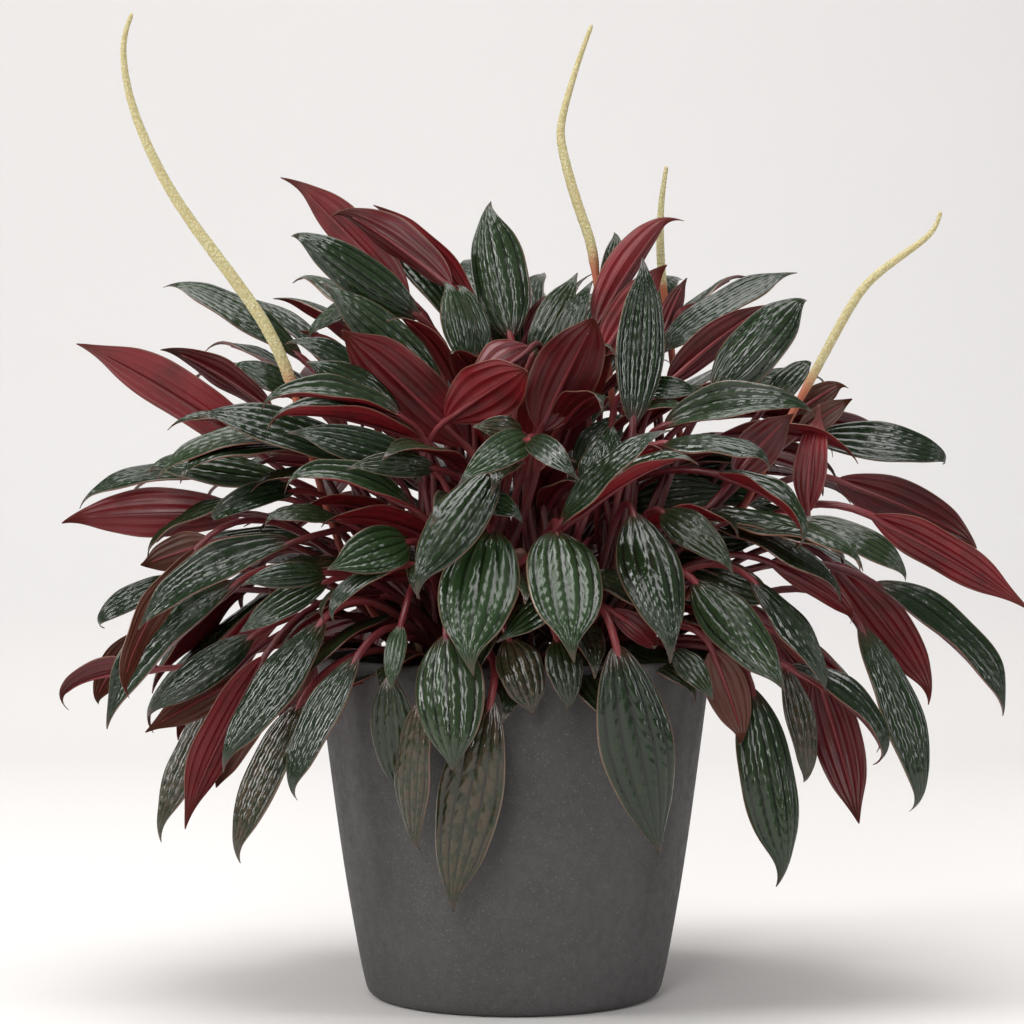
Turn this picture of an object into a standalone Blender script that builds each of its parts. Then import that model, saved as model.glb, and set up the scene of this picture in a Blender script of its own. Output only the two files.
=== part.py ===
"""Ripple peperomia growing in a round stoneware pot.

The pot stands on the floor at the origin with its axis on +Z, and the viewer of
the photo looks along +Y. Everything is built in metres. Readings off the photo
are in millimetres on an upright plane through the pot axis, and are pushed
nearer to or further from the viewer along the line of sight.
"""
import math

import bmesh
import bpy
import numpy as np
from mathutils.bvhtree import BVHTree

MM = 0.001

# Where the photo was taken from.
EYE = np.array((-0.0007, -1.07, 0.183))

# Pot: heights and radii of the turned outline, in millimetres.
POT_HEIGHT = 120.0
POT_RIM_RADIUS = 70.0
POT_FOOT_RADIUS = 48.0
POT_FLOOR = 6.0
POT_SIDES = 60

# Soil, and the short thick stems that carry the leaves.
SOIL_TOP = 107.0
SOIL_EDGE_DROP = 2.5
SOIL_SIDES = 60
CLEARANCE = 0.3
CROWN_RADIUS = 5.2
CROWN_DEPTH = 12.0
CROWN_SIDES = 12

# Name, left-right and front-back place, height of the top.
CROWNS = (
    ("crown_middle", 2.0, 2.0, 158.0),
    ("crown_front_left", -20.0, -22.0, 148.0),
    ("crown_front_right", 22.0, -22.0, 148.0),
    ("crown_right", 33.0, 12.0, 150.0),
    ("crown_left", -31.0, 12.0, 150.0),
    ("crown_back", 2.0, 33.0, 150.0),
)

# Leaves: each is a round stalk running out into a thin lens-shaped blade.
STALK_RADIUS = 1.5
STALK_RINGS = 5
BLADE_RINGS = 8
BLADE_THICKNESS = 1.3
SLENDERNESS = 0.29
WIDEST_LEAF = 24.0
ATTACH_GAP = 1.3

# One leaf a row, read off the photo by eye: left-right, height and depth of the
# blade's foot, the same for its tip, the width seen, the side seen (+1 the green
# upper side, -1 the red underside), the bow of the midrib towards the upper side
# and how far the tip hooks under.
PHOTO_LEAVES = (
    ((-37, 246, 12), (-80, 290.5, 22), 15, -1, 1, 0),
    ((-33, 239, -8), (-79.5, 271, -14), 16, 1, 3, 3),
    ((-25, 215, -16), (-68, 252, -24), 16, 1, 3, 2),
    ((-17, 194, -32), (-62, 235.5, -52), 23, -1, 2, 3),
    ((-1, 231.5, 0), (-10.5, 282, 14), 21.5, 1, 2, 0),
    ((9, 199, -42), (30, 241, -62), 24, -1, 2, 1),
    ((29, 236, 2), (57, 277.5, 6), 12, -1, 3, 2),
    ((42, 201, -45), (46.5, 262, -32), 17, 1, 2, 0),
    ((70, 212, -26), (104, 248.5, -22), 20, 1, 3, 2),
    ((53, 201, -48), (107, 208, -60), 12, 1, 5, 1),
    ((105, 197, 12), (156, 188, 6), 14, 1, 6, 6),
    ((114, 182, -4), (165, 158, 4), 18, -1, 6, 7),
    ((126, 169.5, -12), (183, 136, -16), 15, -1, 3, 0),
    ((127, 145.5, 4), (174, 98, 2), 12, 1, 6, 5),
    ((112, 153, 14), (150, 103, 18), 17, -1, 6, 2),
    ((122, 131, -18), (143.5, 63, -24), 14, 1, 6, 4),
    ((63, 147, -62), (97, 107.5, -84), 18, 1, 4, 0),
    ((36, 124, -86), (51.5, 47, -77), 25, 1, 4, 0),
    ((84, 109, -44), (97, 37, -50), 20, 1, 4, 0),
    ((107, 114, -12), (122.5, 59, -18), 18, -1, 4, 0),
    ((-6, 187, -78), (-37, 142.5, -104), 18, 1, 4, 0),
    ((6, 197, -72), (-20, 181.5, -100), 12, 1, 5, 0),
    ((-8, 165, -74), (-17, 114, -106), 27, 1, 4, 0),
    ((15, 164, -74), (20, 119, -110), 26, 1, 4, 0),
    ((-24, 128, -86), (-21, 77.5, -96), 24, 1, 4, 0),
    ((-8, 105, -82), (-23, 27, -74), 22, 1, 4, 0),
    ((-37, 160, -66), (-66, 150, -90), 17, 1, 4, 0),
    ((-88, 190, 6), (-155, 230.5, -4), 18, -1, 3, 3),
    ((-75, 225, 16), (-124, 253, 20), 11, 1, 3, 1),
    ((-55, 190, -36), (-112, 206, -44), 14, 1, 4, 3),
    ((-80, 182, -18), (-131, 187, -24), 12, 1, 4, 4),
    ((-96, 170, 4), (-161, 168, 0), 18, -1, 3, 2),
    ((-97, 146, -14), (-145, 93.5, -22), 14, 1, 5, 3),
    ((-67, 133, -58), (-106, 79, -66), 15, 1, 3, 0),
    ((-55, 120, -74), (-80.5, 68, -80), 12, 1, 3, 2),
    ((-75, 104, -50), (-100, 46, -56), 13, 1, 3, 2),
)

# Leaves on the far side, which the photo does not show: bearing from the right
# hand side, radius and height of the blade's foot, the same for its tip.
BACK_LEAVES = (
    (24, 80, 196, 148, 198, 5),
    (12, 86, 138, 138, 84, 5),
    (42, 64, 222, 114, 260, 3),
    (70, 84, 190, 146, 190, 5),
    (84, 86, 126, 120, 62, 4),
    (98, 46, 232, 84, 280, 2),
    (104, 86, 160, 148, 124, 5),
    (122, 82, 200, 142, 212, 5),
    (132, 86, 134, 132, 72, 4),
    (158, 62, 214, 116, 250, 3),
    (168, 86, 144, 142, 90, 5),
)

# Flower spikes, tip first, with their depth.
SPIKES = (
    ("flower_spike_left", (-22, -20), ((-135, 347), (-139, 337), (-137, 320), (-132, 305),
                                       (-123, 286), (-112, 270), (-97.5, 251), (-87, 236),
                                       (-80, 220), (-77.6, 212)), 2.1),
    ("flower_spike_middle", (6, 12), ((27.6, 343), (23, 331), (18.6, 316.5), (16, 306),
                                      (17, 299), (20, 287), (24, 275), (27.6, 265.5),
                                      (29, 254)), 1.8),
    ("flower_spike_back", (28, 26), ((54, 293), (52, 281), (51.6, 269), (52, 257),
                                     (53, 249)), 1.5),
    ("flower_spike_right", (-8, -6), ((151, 277), (149, 270), (142, 264.5), (131, 257),
                                      (123, 250), (116, 238), (108.6, 224),
                                      (101.5, 211)), 1.6),
)
SPIKE_TIP_RADIUS = 0.7
SPIKE_STALK_RADIUS = 1.3


def unit(v):
    return v / np.linalg.norm(v)


def lift(x, z, depth):
    """Point seen at (x, z) on the measuring plane, at the given depth."""
    plane = np.array((x, 0.0, z)) * MM
    return EYE + (plane - EYE) * (EYE[1] - depth * MM) / EYE[1]


def bezier(p, t):
    t = np.asarray(t, float)[:, None]
    s = 1.0 - t
    point = s**3 * p[0] + 3 * s * s * t * p[1] + 3 * s * t * t * p[2] + t**3 * p[3]
    slope = 3 * (s * s * (p[1] - p[0]) + 2 * s * t * (p[2] - p[1]) + t * t * (p[3] - p[2]))
    return point, slope / np.linalg.norm(slope, axis=1)[:, None]


def photo_leaf(row, push):
    """Foot, tip, upper-side direction and width of a leaf read off the photo."""
    (xf, zf, yf), (xt, zt, yt), seen, side, bow, hook = row
    foot = lift(xf, zf, yf + push)
    tip = lift(xt, zt, yt + push)
    along = unit(tip - foot)
    middle = 0.5 * (foot + tip)
    to_eye = EYE - middle
    facing = unit(to_eye - along * (to_eye @ along))
    edge = np.cross(along, facing)
    outward = unit(np.array((middle[0], middle[1], 0.0)))
    if edge[2] + 0.3 * (edge @ outward) < 0:
        edge = -edge
    length = np.linalg.norm(tip - foot)
    width = max(1.03 * seen * MM, min(WIDEST_LEAF * MM, SLENDERNESS * length))
    share = min(seen * MM / width, 0.97)
    upper = side * share * facing + math.sqrt(1 - share * share) * edge
    return foot, tip, unit(upper), width, bow * MM, hook * MM


def back_leaf(row, turn):
    """The same for a leaf placed by bearing, radius and height."""
    bearing, foot_r, foot_z, tip_r, tip_z, hook = row
    a = math.radians(bearing + turn)
    b = math.radians(bearing + turn * 1.1 + 4.0 * math.sin(bearing))
    foot = np.array((foot_r * math.cos(a), foot_r * math.sin(a), foot_z)) * MM
    tip = np.array((tip_r * math.cos(b), tip_r * math.sin(b), tip_z)) * MM
    along = unit(tip - foot)
    outward = np.array((math.cos(a), math.sin(a), 0.0))
    across = np.cross(np.array((0.0, 0.0, 1.0)), outward)
    roll = 0.35 * math.sin(3.1 * bearing)
    upper = np.cross(along, across)
    upper = unit(upper - along * (upper @ along))
    upper = unit(upper * math.cos(roll) + np.cross(along, upper) * math.sin(roll))
    length = np.linalg.norm(tip - foot)
    return foot, tip, upper, min(WIDEST_LEAF * MM, 0.33 * length), 5 * MM, hook * MM


def half_width(t):
    """Outline of the blade: widest two fifths of the way out, drawn out to a point."""
    return (t**0.8 * (1.0 - t) ** 1.1) / 0.2744


def leaf_shape(shape, start, heading, sway, grow):
    """Rings of eight points from the stem end of the stalk to the leaf tip."""
    foot, tip, upper, width, bow, hook = shape
    along = unit(tip - foot)
    across = unit(np.cross(along, upper))
    upper = np.cross(across, along)
    length = np.linalg.norm(tip - foot)
    bent = min(1.0, hook / (8 * MM))
    mid_a = foot + along * length * 0.33 + upper * bow * 1.25
    mid_b = tip - along * length * (0.30 - 0.16 * bent) + upper * (bow * 1.1 + hook)
    t_blade = np.linspace(0.0, 1.0, BLADE_RINGS + 1)[:-1] ** 0.85
    blade, blade_dir = bezier((foot, mid_a, mid_b, tip), t_blade)

    leave = blade_dir[0]
    reach = np.linalg.norm(foot - start)
    sideways = unit(np.cross(heading, foot - start))
    stalk_path = (
        start,
        start + heading * reach * 0.42 + sideways * sway * MM,
        foot - leave * reach * 0.36 + sideways * sway * 0.6 * MM,
        foot,
    )
    t_stalk = np.linspace(0.0, 1.0, STALK_RINGS + 1)[:-1]
    stalk, stalk_dir = bezier(stalk_path, t_stalk)

    points = np.vstack((stalk, blade))
    slopes = np.vstack((stalk_dir, blade_dir))
    spans = np.concatenate((np.full(STALK_RINGS, -1.0), t_blade))

    side = across
    sides = [None] * len(points)
    for i in range(len(points) - 1, -1, -1):
        side = unit(side - slopes[i] * (side @ slopes[i]))
        sides[i] = side

    rings = []
    extra = grow * MM
    for point, slope, side, t in zip(points, slopes, sides, spans):
        lifted = np.cross(side, slope)
        r = STALK_RADIUS * MM + extra
        ring = []
        if t <= 0.0:
            blend = 0.0
            half = r
            thick = r
        else:
            blend = min(1.0, t / 0.16)
            half = max(width * 0.5 * float(half_width(t)), 0.0006) + extra
            thick = (0.5 * BLADE_THICKNESS * MM) * (1.0 - 0.55 * t) + extra
            thick = r + (thick - r) * blend
        for k in range(8):
            c = math.cos(math.pi * k / 4)
            s = math.sin(math.pi * k / 4)
            x = c * half
            z = s * thick
            if blend > 0:
                x = (c if k % 4 == 0 else c * (1 - 0.2 * blend)) * half
                z += 0.10 * blend * c * c * half
            ring.append(point + side * x + lifted * z)
        rings.append(ring)
    verts = [v for ring in rings for v in ring]
    end = len(verts)
    verts.append(tip + unit(tip - points[-1]) * extra)
    faces = [tuple(range(7, -1, -1))]
    for i in range(len(rings) - 1):
        for k in range(8):
            a = i * 8 + k
            b = i * 8 + (k + 1) % 8
            faces.append((a, b, b + 8, a + 8))
    last = (len(rings) - 1) * 8
    for k in range(8):
        faces.append((last + k, last + (k + 1) % 8, end))
    return verts, faces


def tree_of(verts, faces):
    return BVHTree.FromPolygons([tuple(v) for v in verts], faces, epsilon=0.0)


def box_of(verts):
    array = np.array(verts)
    return array.min(axis=0), array.max(axis=0)


def boxes_meet(one, two):
    return bool(np.all(one[0] <= two[1]) and np.all(two[0] <= one[1]))


def clear_of(candidate, placed):
    """True when an outline grown by the clearance touches nothing already there."""
    tree = None
    box = box_of(candidate[0])
    for other_tree, other_box in placed:
        if not boxes_meet(box, other_box):
            continue
        if tree is None:
            tree = tree_of(*candidate)
        if tree.overlap(other_tree):
            return False
    return True


def choose_crown(foot, load):
    """The stem that faces the leaf and is not already full."""
    best = None
    for i, (name, x, y, top) in enumerate(CROWNS):
        away = math.hypot(foot[0] / MM * 0.36 - x, foot[1] / MM * 0.36 - y)
        high = foot[2] / MM
        cost = away + 3.2 * load[i]
        if i == 0:
            cost -= 0.10 * (high - 200.0)
        if best is None or cost < best[0]:
            best = (cost, i)
    return best[1]


def stalk_start(crown, foot, step):
    """Where a stalk leaves its stem, and the way it sets off."""
    name, x, y, top = CROWNS[crown]
    foot_mm = foot / MM
    bearing = math.atan2(foot_mm[1] - y, foot_mm[0] - x)
    out = np.array((math.cos(bearing), math.sin(bearing), 0.0))
    height = SOIL_TOP + 5.0 + step
    start = np.array((x, y, height)) * MM + out * (CROWN_RADIUS + ATTACH_GAP) * MM
    heading = unit(out * 0.75 + np.array((0.0, 0.0, 0.66)))
    return start, heading


def place_leaf(row, maker, shifts, crown, steps, placed):
    """First of the small moves that keeps the leaf clear of its neighbours."""
    for shift in shifts:
        shape = maker(row, shift)
        for sway in (0.0, 9.0, -9.0, 18.0, -18.0):
            for step in steps:
                start, heading = stalk_start(crown, shape[0], step)
                grown = leaf_shape(shape, start, heading, sway, CLEARANCE)
                if clear_of(grown, placed):
                    return shape, start, heading, sway, step
    return None


def lathe(outline, sides):
    """Turned solid from (radius, height) pairs that start and end on the axis."""
    verts = [(0.0, 0.0, outline[0][1])]
    rings = []
    for radius, height in outline[1:-1]:
        first = len(verts)
        for k in range(sides):
            a = 2 * math.pi * k / sides
            verts.append((radius * math.cos(a), radius * math.sin(a), height))
        rings.append(first)
    verts.append((0.0, 0.0, outline[-1][1]))
    last = len(verts) - 1
    faces = []
    for k in range(sides):
        n = (k + 1) % sides
        faces.append((0, rings[0] + n, rings[0] + k))
        for a, b in zip(rings, rings[1:]):
            faces.append((a + k, a + n, b + n, b + k))
        faces.append((rings[-1] + k, rings[-1] + n, last))
    return [tuple(c * MM for c in v) for v in verts], faces


def pot_outline():
    return (
        (0, 0), (POT_FOOT_RADIUS, 0), (50.4, 0.7), (51.9, 2.4), (52.7, 5),
        (54.3, 12), (58.1, 33), (61.1, 52), (63.6, 70), (66.9, 95), (69.4, 115),
        (POT_RIM_RADIUS, 118.2), (69.6, 119.5), (68.7, POT_HEIGHT),
        (67.2, POT_HEIGHT), (66.2, 119.3), (65.7, 117.6), (62.7, 95),
        (59.4, 70), (54.0, 34), (50.2, 13), (47.5, 8.4), (44, POT_FLOOR),
        (0, POT_FLOOR),
    )


def soil_outline():
    gap = CLEARANCE
    edge = SOIL_TOP - SOIL_EDGE_DROP
    return (
        (0, POT_FLOOR + gap), (43.8, POT_FLOOR + gap), (47.1, 8.9), (49.7, 13.4),
        (53.5, 34), (58.9, 70), (62.2, 95), (63.6, edge - 0.6), (62.9, edge),
        (50, SOIL_TOP - 1.2), (30, SOIL_TOP - 0.3), (0, SOIL_TOP),
    )


def crown_outline(top):
    low = SOIL_TOP - CROWN_DEPTH
    r = CROWN_RADIUS
    return (
        (0, low), (r * 0.7, low), (r, low + 2), (r, SOIL_TOP + 4), (r, top - 6),
        (r * 0.8, top - 2), (r * 0.45, top - 0.4), (0, top),
    )


def tube(path, radii, sides):
    """Round closed body along a path."""
    path = np.array(path)
    slopes = np.gradient(path, axis=0)
    side = np.array((1.0, 0.0, 0.0))
    verts = [tuple(path[0])]
    for point, slope, radius in zip(path, slopes, radii):
        slope = unit(slope)
        side = unit(side - slope * (side @ slope))
        lifted = np.cross(slope, side)
        for k in range(sides):
            a = 2 * math.pi * k / sides
            offset = side * math.cos(a) + lifted * math.sin(a)
            verts.append(tuple(point + offset * radius))
    verts.append(tuple(path[-1]))
    last = len(verts) - 1
    faces = []
    for k in range(sides):
        n = (k + 1) % sides
        faces.append((0, 1 + n, 1 + k))
        for i in range(len(path) - 1):
            a = 1 + i * sides
            faces.append((a + k, a + n, a + n + sides, a + k + sides))
        a = 1 + (len(path) - 1) * sides
        faces.append((a + k, a + n, last))
    return verts, faces


def spike_body(row, crown, step, sway, grow):
    """Flower spike from its stem to its tip: a thin stalk, then the thicker spike."""
    name, (y_foot, y_tip), readings, thick = row
    count = len(readings)
    upper = []
    for i, (x, z) in enumerate(reversed(readings)):
        depth = y_foot + (y_tip - y_foot) * i / (count - 1)
        upper.append(lift(x, z, depth))
    upper = np.array(upper)
    foot = upper[0]
    start, heading = stalk_start(crown, foot, step)
    leave = unit(upper[1] - upper[0])
    reach = np.linalg.norm(foot - start)
    aside = unit(np.cross(heading, foot - start)) * sway * MM
    bend = (start, start + heading * reach * 0.4 + aside, foot - leave * reach * 0.35, foot)
    low, low_dir = bezier(bend, np.linspace(0, 1, 9)[:-1])
    steps = np.linspace(0, count - 1, 13)
    fine = np.array([np.interp(steps, np.arange(count), upper[:, k]) for k in range(3)]).T
    path = np.vstack((low, fine))
    radii = []
    for i in range(len(path)):
        if i < len(low):
            radii.append(SPIKE_STALK_RADIUS)
            continue
        t = (i - len(low)) / (len(fine) - 1)
        swell = min(1.0, t / 0.08)
        r = SPIKE_STALK_RADIUS + (thick - SPIKE_STALK_RADIUS) * swell
        r += (SPIKE_TIP_RADIUS - r) * max(0.0, (t - 0.35) / 0.65) ** 1.3
        radii.append(r)
    radii = [(r + grow) * MM for r in radii]
    return tube(path, radii, 8)


def material(name, colour, roughness):
    """Plain surface of one colour."""
    surface = bpy.data.materials.get(name)
    if surface is None:
        surface = bpy.data.materials.new(name)
        surface.use_nodes = True
        shader = surface.node_tree.nodes["Principled BSDF"]
        shader.inputs["Base Color"].default_value = (*colour, 1.0)
        shader.inputs["Roughness"].default_value = roughness
    surface.diffuse_color = (*colour, 1.0)
    return surface


def add_object(name, verts, faces, surface):
    mesh = bpy.data.meshes.new(name)
    mesh.from_pydata([tuple(v) for v in verts], [], faces)
    work = bmesh.new()
    work.from_mesh(mesh)
    bmesh.ops.recalc_face_normals(work, faces=work.faces)
    bmesh.ops.triangulate(work, faces=work.faces)
    work.to_mesh(mesh)
    work.free()
    mesh.materials.append(surface)
    thing = bpy.data.objects.new(name, mesh)
    bpy.context.scene.collection.objects.link(thing)
    return thing


def cut_pockets(soil, placed_crowns):
    """Holes in the soil that the stems stand in."""
    for i, (x, y) in enumerate(placed_crowns):
        low = SOIL_TOP - CROWN_DEPTH - CLEARANCE
        outline = ((0, low), (CROWN_RADIUS + CLEARANCE, low),
                   (CROWN_RADIUS + CLEARANCE, SOIL_TOP + 10), (0, SOIL_TOP + 10))
        verts, faces = lathe(outline, CROWN_SIDES)
        verts = [(v[0] + x * MM, v[1] + y * MM, v[2]) for v in verts]
        cutter = add_object("soil_pocket_%d" % (i + 1), verts, faces,
                            material("cutter", (0.5, 0.5, 0.5), 0.5))
        cutter.hide_render = True
        cutter.display_type = "WIRE"
        cut = soil.modifiers.new("pocket_%d" % (i + 1), "BOOLEAN")
        cut.operation = "DIFFERENCE"
        cut.solver = "EXACT"
        cut.object = cutter


def build():
    for thing in list(bpy.data.objects):
        bpy.data.objects.remove(thing, do_unlink=True)

    stone = material("pot_stoneware", (0.10, 0.095, 0.092), 0.75)
    earth = material("soil_dark", (0.035, 0.024, 0.017), 0.95)
    stem = material("stem_red_green", (0.20, 0.07, 0.05), 0.55)
    leaf_skin = material("leaf_green", (0.035, 0.070, 0.040), 0.35)
    spike_skin = material("spike_cream", (0.53, 0.48, 0.28), 0.6)

    placed = []
    pot = lathe(pot_outline(), POT_SIDES)
    add_object("pot", *pot, stone)
    placed.append((tree_of(*pot), box_of(pot[0])))
    ground = lathe(soil_outline(), SOIL_SIDES)
    soil = add_object("potting_soil", *ground, earth)
    placed.append((tree_of(*ground), box_of(ground[0])))

    for name, x, y, top in CROWNS:
        verts, faces = lathe(crown_outline(top), CROWN_SIDES)
        verts = [(v[0] + x * MM, v[1] + y * MM, v[2]) for v in verts]
        add_object(name, verts, faces, stem)
        placed.append((tree_of(verts, faces), box_of(verts)))
    cut_pockets(soil, [(x, y) for name, x, y, top in CROWNS])

    load = [0] * len(CROWNS)
    room = [int((top - SOIL_TOP - 13.5) / 2.3) for name, x, y, top in CROWNS]

    for row, crown in zip(SPIKES, (4, 0, 3, 3)):
        done = False
        for step in range(2, room[crown]):
            for sway in (0.0, 8.0, -8.0):
                grown = spike_body(row, crown, step * 2.3, sway, CLEARANCE)
                if not done and clear_of(grown, placed):
                    body = spike_body(row, crown, step * 2.3, sway, 0.0)
                    add_object(row[0], *body, spike_skin)
                    placed.append((tree_of(*body), box_of(body[0])))
                    done = True
        if not done:
            print("NOT PLACED", row[0])

    jobs = [(row, photo_leaf, (0, -5, 5, -10, 10, -16, 16, -24, 24)) for row in PHOTO_LEAVES]
    jobs += [(row, back_leaf, (0, -3, 3, -6, 6, -9, 9)) for row in BACK_LEAVES]
    number = 0
    for row, maker, shifts in jobs:
        number += 1
        foot = maker(row, 0)[0]
        crown = choose_crown(foot, load)
        wanted = 0.35 * (foot[2] / MM - SOIL_TOP)
        steps = sorted((s * 2.3 for s in range(room[crown])), key=lambda s: abs(s - wanted))
        steps = steps[:9]
        found = place_leaf(row, maker, shifts, crown, steps, placed)
        if found is None:
            print("NOT PLACED leaf_%02d" % number, row)
            continue
        load[crown] += 1
        shape, start, heading, sway, step = found
        body = leaf_shape(shape, start, heading, sway, 0.0)
        add_object("leaf_%02d" % number, *body, leaf_skin)
        placed.append((tree_of(*body), box_of(body[0])))


build()
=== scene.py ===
"""Looks of the potted ripple peperomia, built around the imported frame."""
import math

import bpy
import numpy as np
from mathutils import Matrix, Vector
from mathutils.bvhtree import BVHTree


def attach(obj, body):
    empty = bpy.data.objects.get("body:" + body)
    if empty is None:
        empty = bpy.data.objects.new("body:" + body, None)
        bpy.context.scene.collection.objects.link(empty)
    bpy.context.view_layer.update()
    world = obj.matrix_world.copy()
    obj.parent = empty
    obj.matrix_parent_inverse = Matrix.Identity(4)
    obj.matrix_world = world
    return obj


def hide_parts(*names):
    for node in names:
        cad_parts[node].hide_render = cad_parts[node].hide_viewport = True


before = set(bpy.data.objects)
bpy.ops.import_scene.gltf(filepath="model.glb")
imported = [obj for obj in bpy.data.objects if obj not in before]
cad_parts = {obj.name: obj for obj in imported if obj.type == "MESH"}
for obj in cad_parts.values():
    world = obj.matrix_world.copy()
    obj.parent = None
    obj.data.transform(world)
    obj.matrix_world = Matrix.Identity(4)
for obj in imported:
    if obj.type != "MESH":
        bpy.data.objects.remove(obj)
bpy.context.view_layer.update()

MM = 0.001
EYE = np.array((-0.0007, -1.07, 0.183))
POT_HEIGHT = 120.0
POT_RIM_RADIUS = 70.0
POT_FOOT_RADIUS = 48.0
POT_FLOOR = 6.0
POT_SIDES = 60
SOIL_TOP = 107.0
SOIL_EDGE_DROP = 2.5
SOIL_SIDES = 60
CLEARANCE = 0.3
CROWN_RADIUS = 5.2
CROWN_DEPTH = 12.0
CROWN_SIDES = 12
CROWNS = (
    ("crown_middle", 2.0, 2.0, 158.0),
    ("crown_front_left", -20.0, -22.0, 148.0),
    ("crown_front_right", 22.0, -22.0, 148.0),
    ("crown_right", 33.0, 12.0, 150.0),
    ("crown_left", -31.0, 12.0, 150.0),
    ("crown_back", 2.0, 33.0, 150.0),
)
STALK_RADIUS = 1.5
STALK_RINGS = 5
BLADE_RINGS = 8
BLADE_THICKNESS = 1.3
SLENDERNESS = 0.29
WIDEST_LEAF = 24.0
ATTACH_GAP = 1.3

# The leaves that are also solids, in the same order as their nodes.
PHOTO_LEAVES = (
    ((-37, 246, 12), (-80, 290.5, 22), 15, -1, 1, 0),
    ((-33, 239, -8), (-79.5, 271, -14), 16, 1, 3, 3),
    ((-25, 215, -16), (-68, 252, -24), 16, 1, 3, 2),
    ((-17, 194, -32), (-62, 235.5, -52), 23, -1, 2, 3),
    ((-1, 231.5, 0), (-10.5, 282, 14), 21.5, 1, 2, 0),
    ((9, 199, -42), (30, 241, -62), 24, -1, 2, 1),
    ((29, 236, 2), (57, 277.5, 6), 12, -1, 3, 2),
    ((42, 201, -45), (46.5, 262, -32), 17, 1, 2, 0),
    ((70, 212, -26), (104, 248.5, -22), 20, 1, 3, 2),
    ((53, 201, -48), (107, 208, -60), 12, 1, 5, 1),
    ((105, 197, 12), (156, 188, 6), 14, 1, 6, 6),
    ((114, 182, -4), (165, 158, 4), 18, -1, 6, 7),
    ((126, 169.5, -12), (183, 136, -16), 15, -1, 3, 0),
    ((127, 145.5, 4), (174, 98, 2), 12, 1, 6, 5),
    ((112, 153, 14), (150, 103, 18), 17, -1, 6, 2),
    ((122, 131, -18), (143.5, 63, -24), 14, 1, 6, 4),
    ((63, 147, -62), (97, 107.5, -84), 18, 1, 4, 0),
    ((36, 124, -86), (51.5, 47, -77), 25, 1, 4, 0),
    ((84, 109, -44), (97, 37, -50), 20, 1, 4, 0),
    ((107, 114, -12), (122.5, 59, -18), 18, -1, 4, 0),
    ((-6, 187, -78), (-37, 142.5, -104), 18, 1, 4, 0),
    ((6, 197, -72), (-20, 181.5, -100), 12, 1, 5, 0),
    ((-8, 165, -74), (-17, 114, -106), 27, 1, 4, 0),
    ((15, 164, -74), (20, 119, -110), 26, 1, 4, 0),
    ((-24, 128, -86), (-21, 77.5, -96), 24, 1, 4, 0),
    ((-8, 105, -82), (-23, 27, -74), 22, 1, 4, 0),
    ((-37, 160, -66), (-66, 150, -90), 17, 1, 4, 0),
    ((-88, 190, 6), (-155, 230.5, -4), 18, -1, 3, 3),
    ((-75, 225, 16), (-124, 253, 20), 11, 1, 3, 1),
    ((-55, 190, -36), (-112, 206, -44), 14, 1, 4, 3),
    ((-80, 182, -18), (-131, 187, -24), 12, 1, 4, 4),
    ((-96, 170, 4), (-161, 168, 0), 18, -1, 3, 2),
    ((-97, 146, -14), (-145, 93.5, -22), 14, 1, 5, 3),
    ((-67, 133, -58), (-106, 79, -66), 15, 1, 3, 0),
    ((-55, 120, -74), (-80.5, 68, -80), 12, 1, 3, 2),
    ((-75, 104, -50), (-100, 46, -56), 13, 1, 3, 2),
)
BACK_LEAVES = (
    (24, 80, 196, 148, 198, 5),
    (12, 86, 138, 138, 84, 5),
    (42, 64, 222, 114, 260, 3),
    (70, 84, 190, 146, 190, 5),
    (84, 86, 126, 120, 62, 4),
    (98, 46, 232, 84, 280, 2),
    (104, 86, 160, 148, 124, 5),
    (122, 82, 200, 142, 212, 5),
    (132, 86, 134, 132, 72, 4),
    (158, 62, 214, 116, 250, 3),
    (168, 86, 144, 142, 90, 5),
)

# Flower spikes, tip first, with their depth.
SPIKES = (
    ("flower_spike_left", (-22, -20), ((-135, 347), (-139, 337), (-137, 320), (-132, 305),
                                       (-123, 286), (-112, 270), (-97.5, 251), (-87, 236),
                                       (-80, 220), (-77.6, 212)), 2.1),
    ("flower_spike_middle", (6, 12), ((27.6, 343), (23, 331), (18.6, 316.5), (16, 306),
                                      (17, 299), (20, 287), (24, 275), (27.6, 265.5),
                                      (29, 254)), 1.8),
    ("flower_spike_back", (28, 26), ((54, 293), (52, 281), (51.6, 269), (52, 257),
                                     (53, 249)), 1.5),
    ("flower_spike_right", (-8, -6), ((151, 277), (149, 270), (142, 264.5), (131, 257),
                                      (123, 250), (116, 238), (108.6, 224),
                                      (101.5, 211)), 1.6),
)
SPIKE_TIP_RADIUS = 0.7
SPIKE_STALK_RADIUS = 1.3
# The stem that each spike grows from, by its place in the list of stems.
SPIKE_CROWNS = (4, 0, 3, 3)

# Moves tried until a leaf is clear: depth in mm, or bearing in degrees for the
# leaves placed by bearing. Stalks leave their stem at heights one step apart.
PHOTO_MOVES = (0, -5, 5, -10, 10, -16, 16, -24, 24)
BACK_MOVES = (0, -3, 3, -6, 6, -9, 9)
MORE_MOVES = (0, -4, 4, -8, 8, -13, 13, -20, 20)
RING_MOVES = BACK_MOVES + (-13, 13)
INNER_MOVES = (0, -4, 4, -8, 8, -12, 12, -16, 16)
STEP = 2.3

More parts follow.
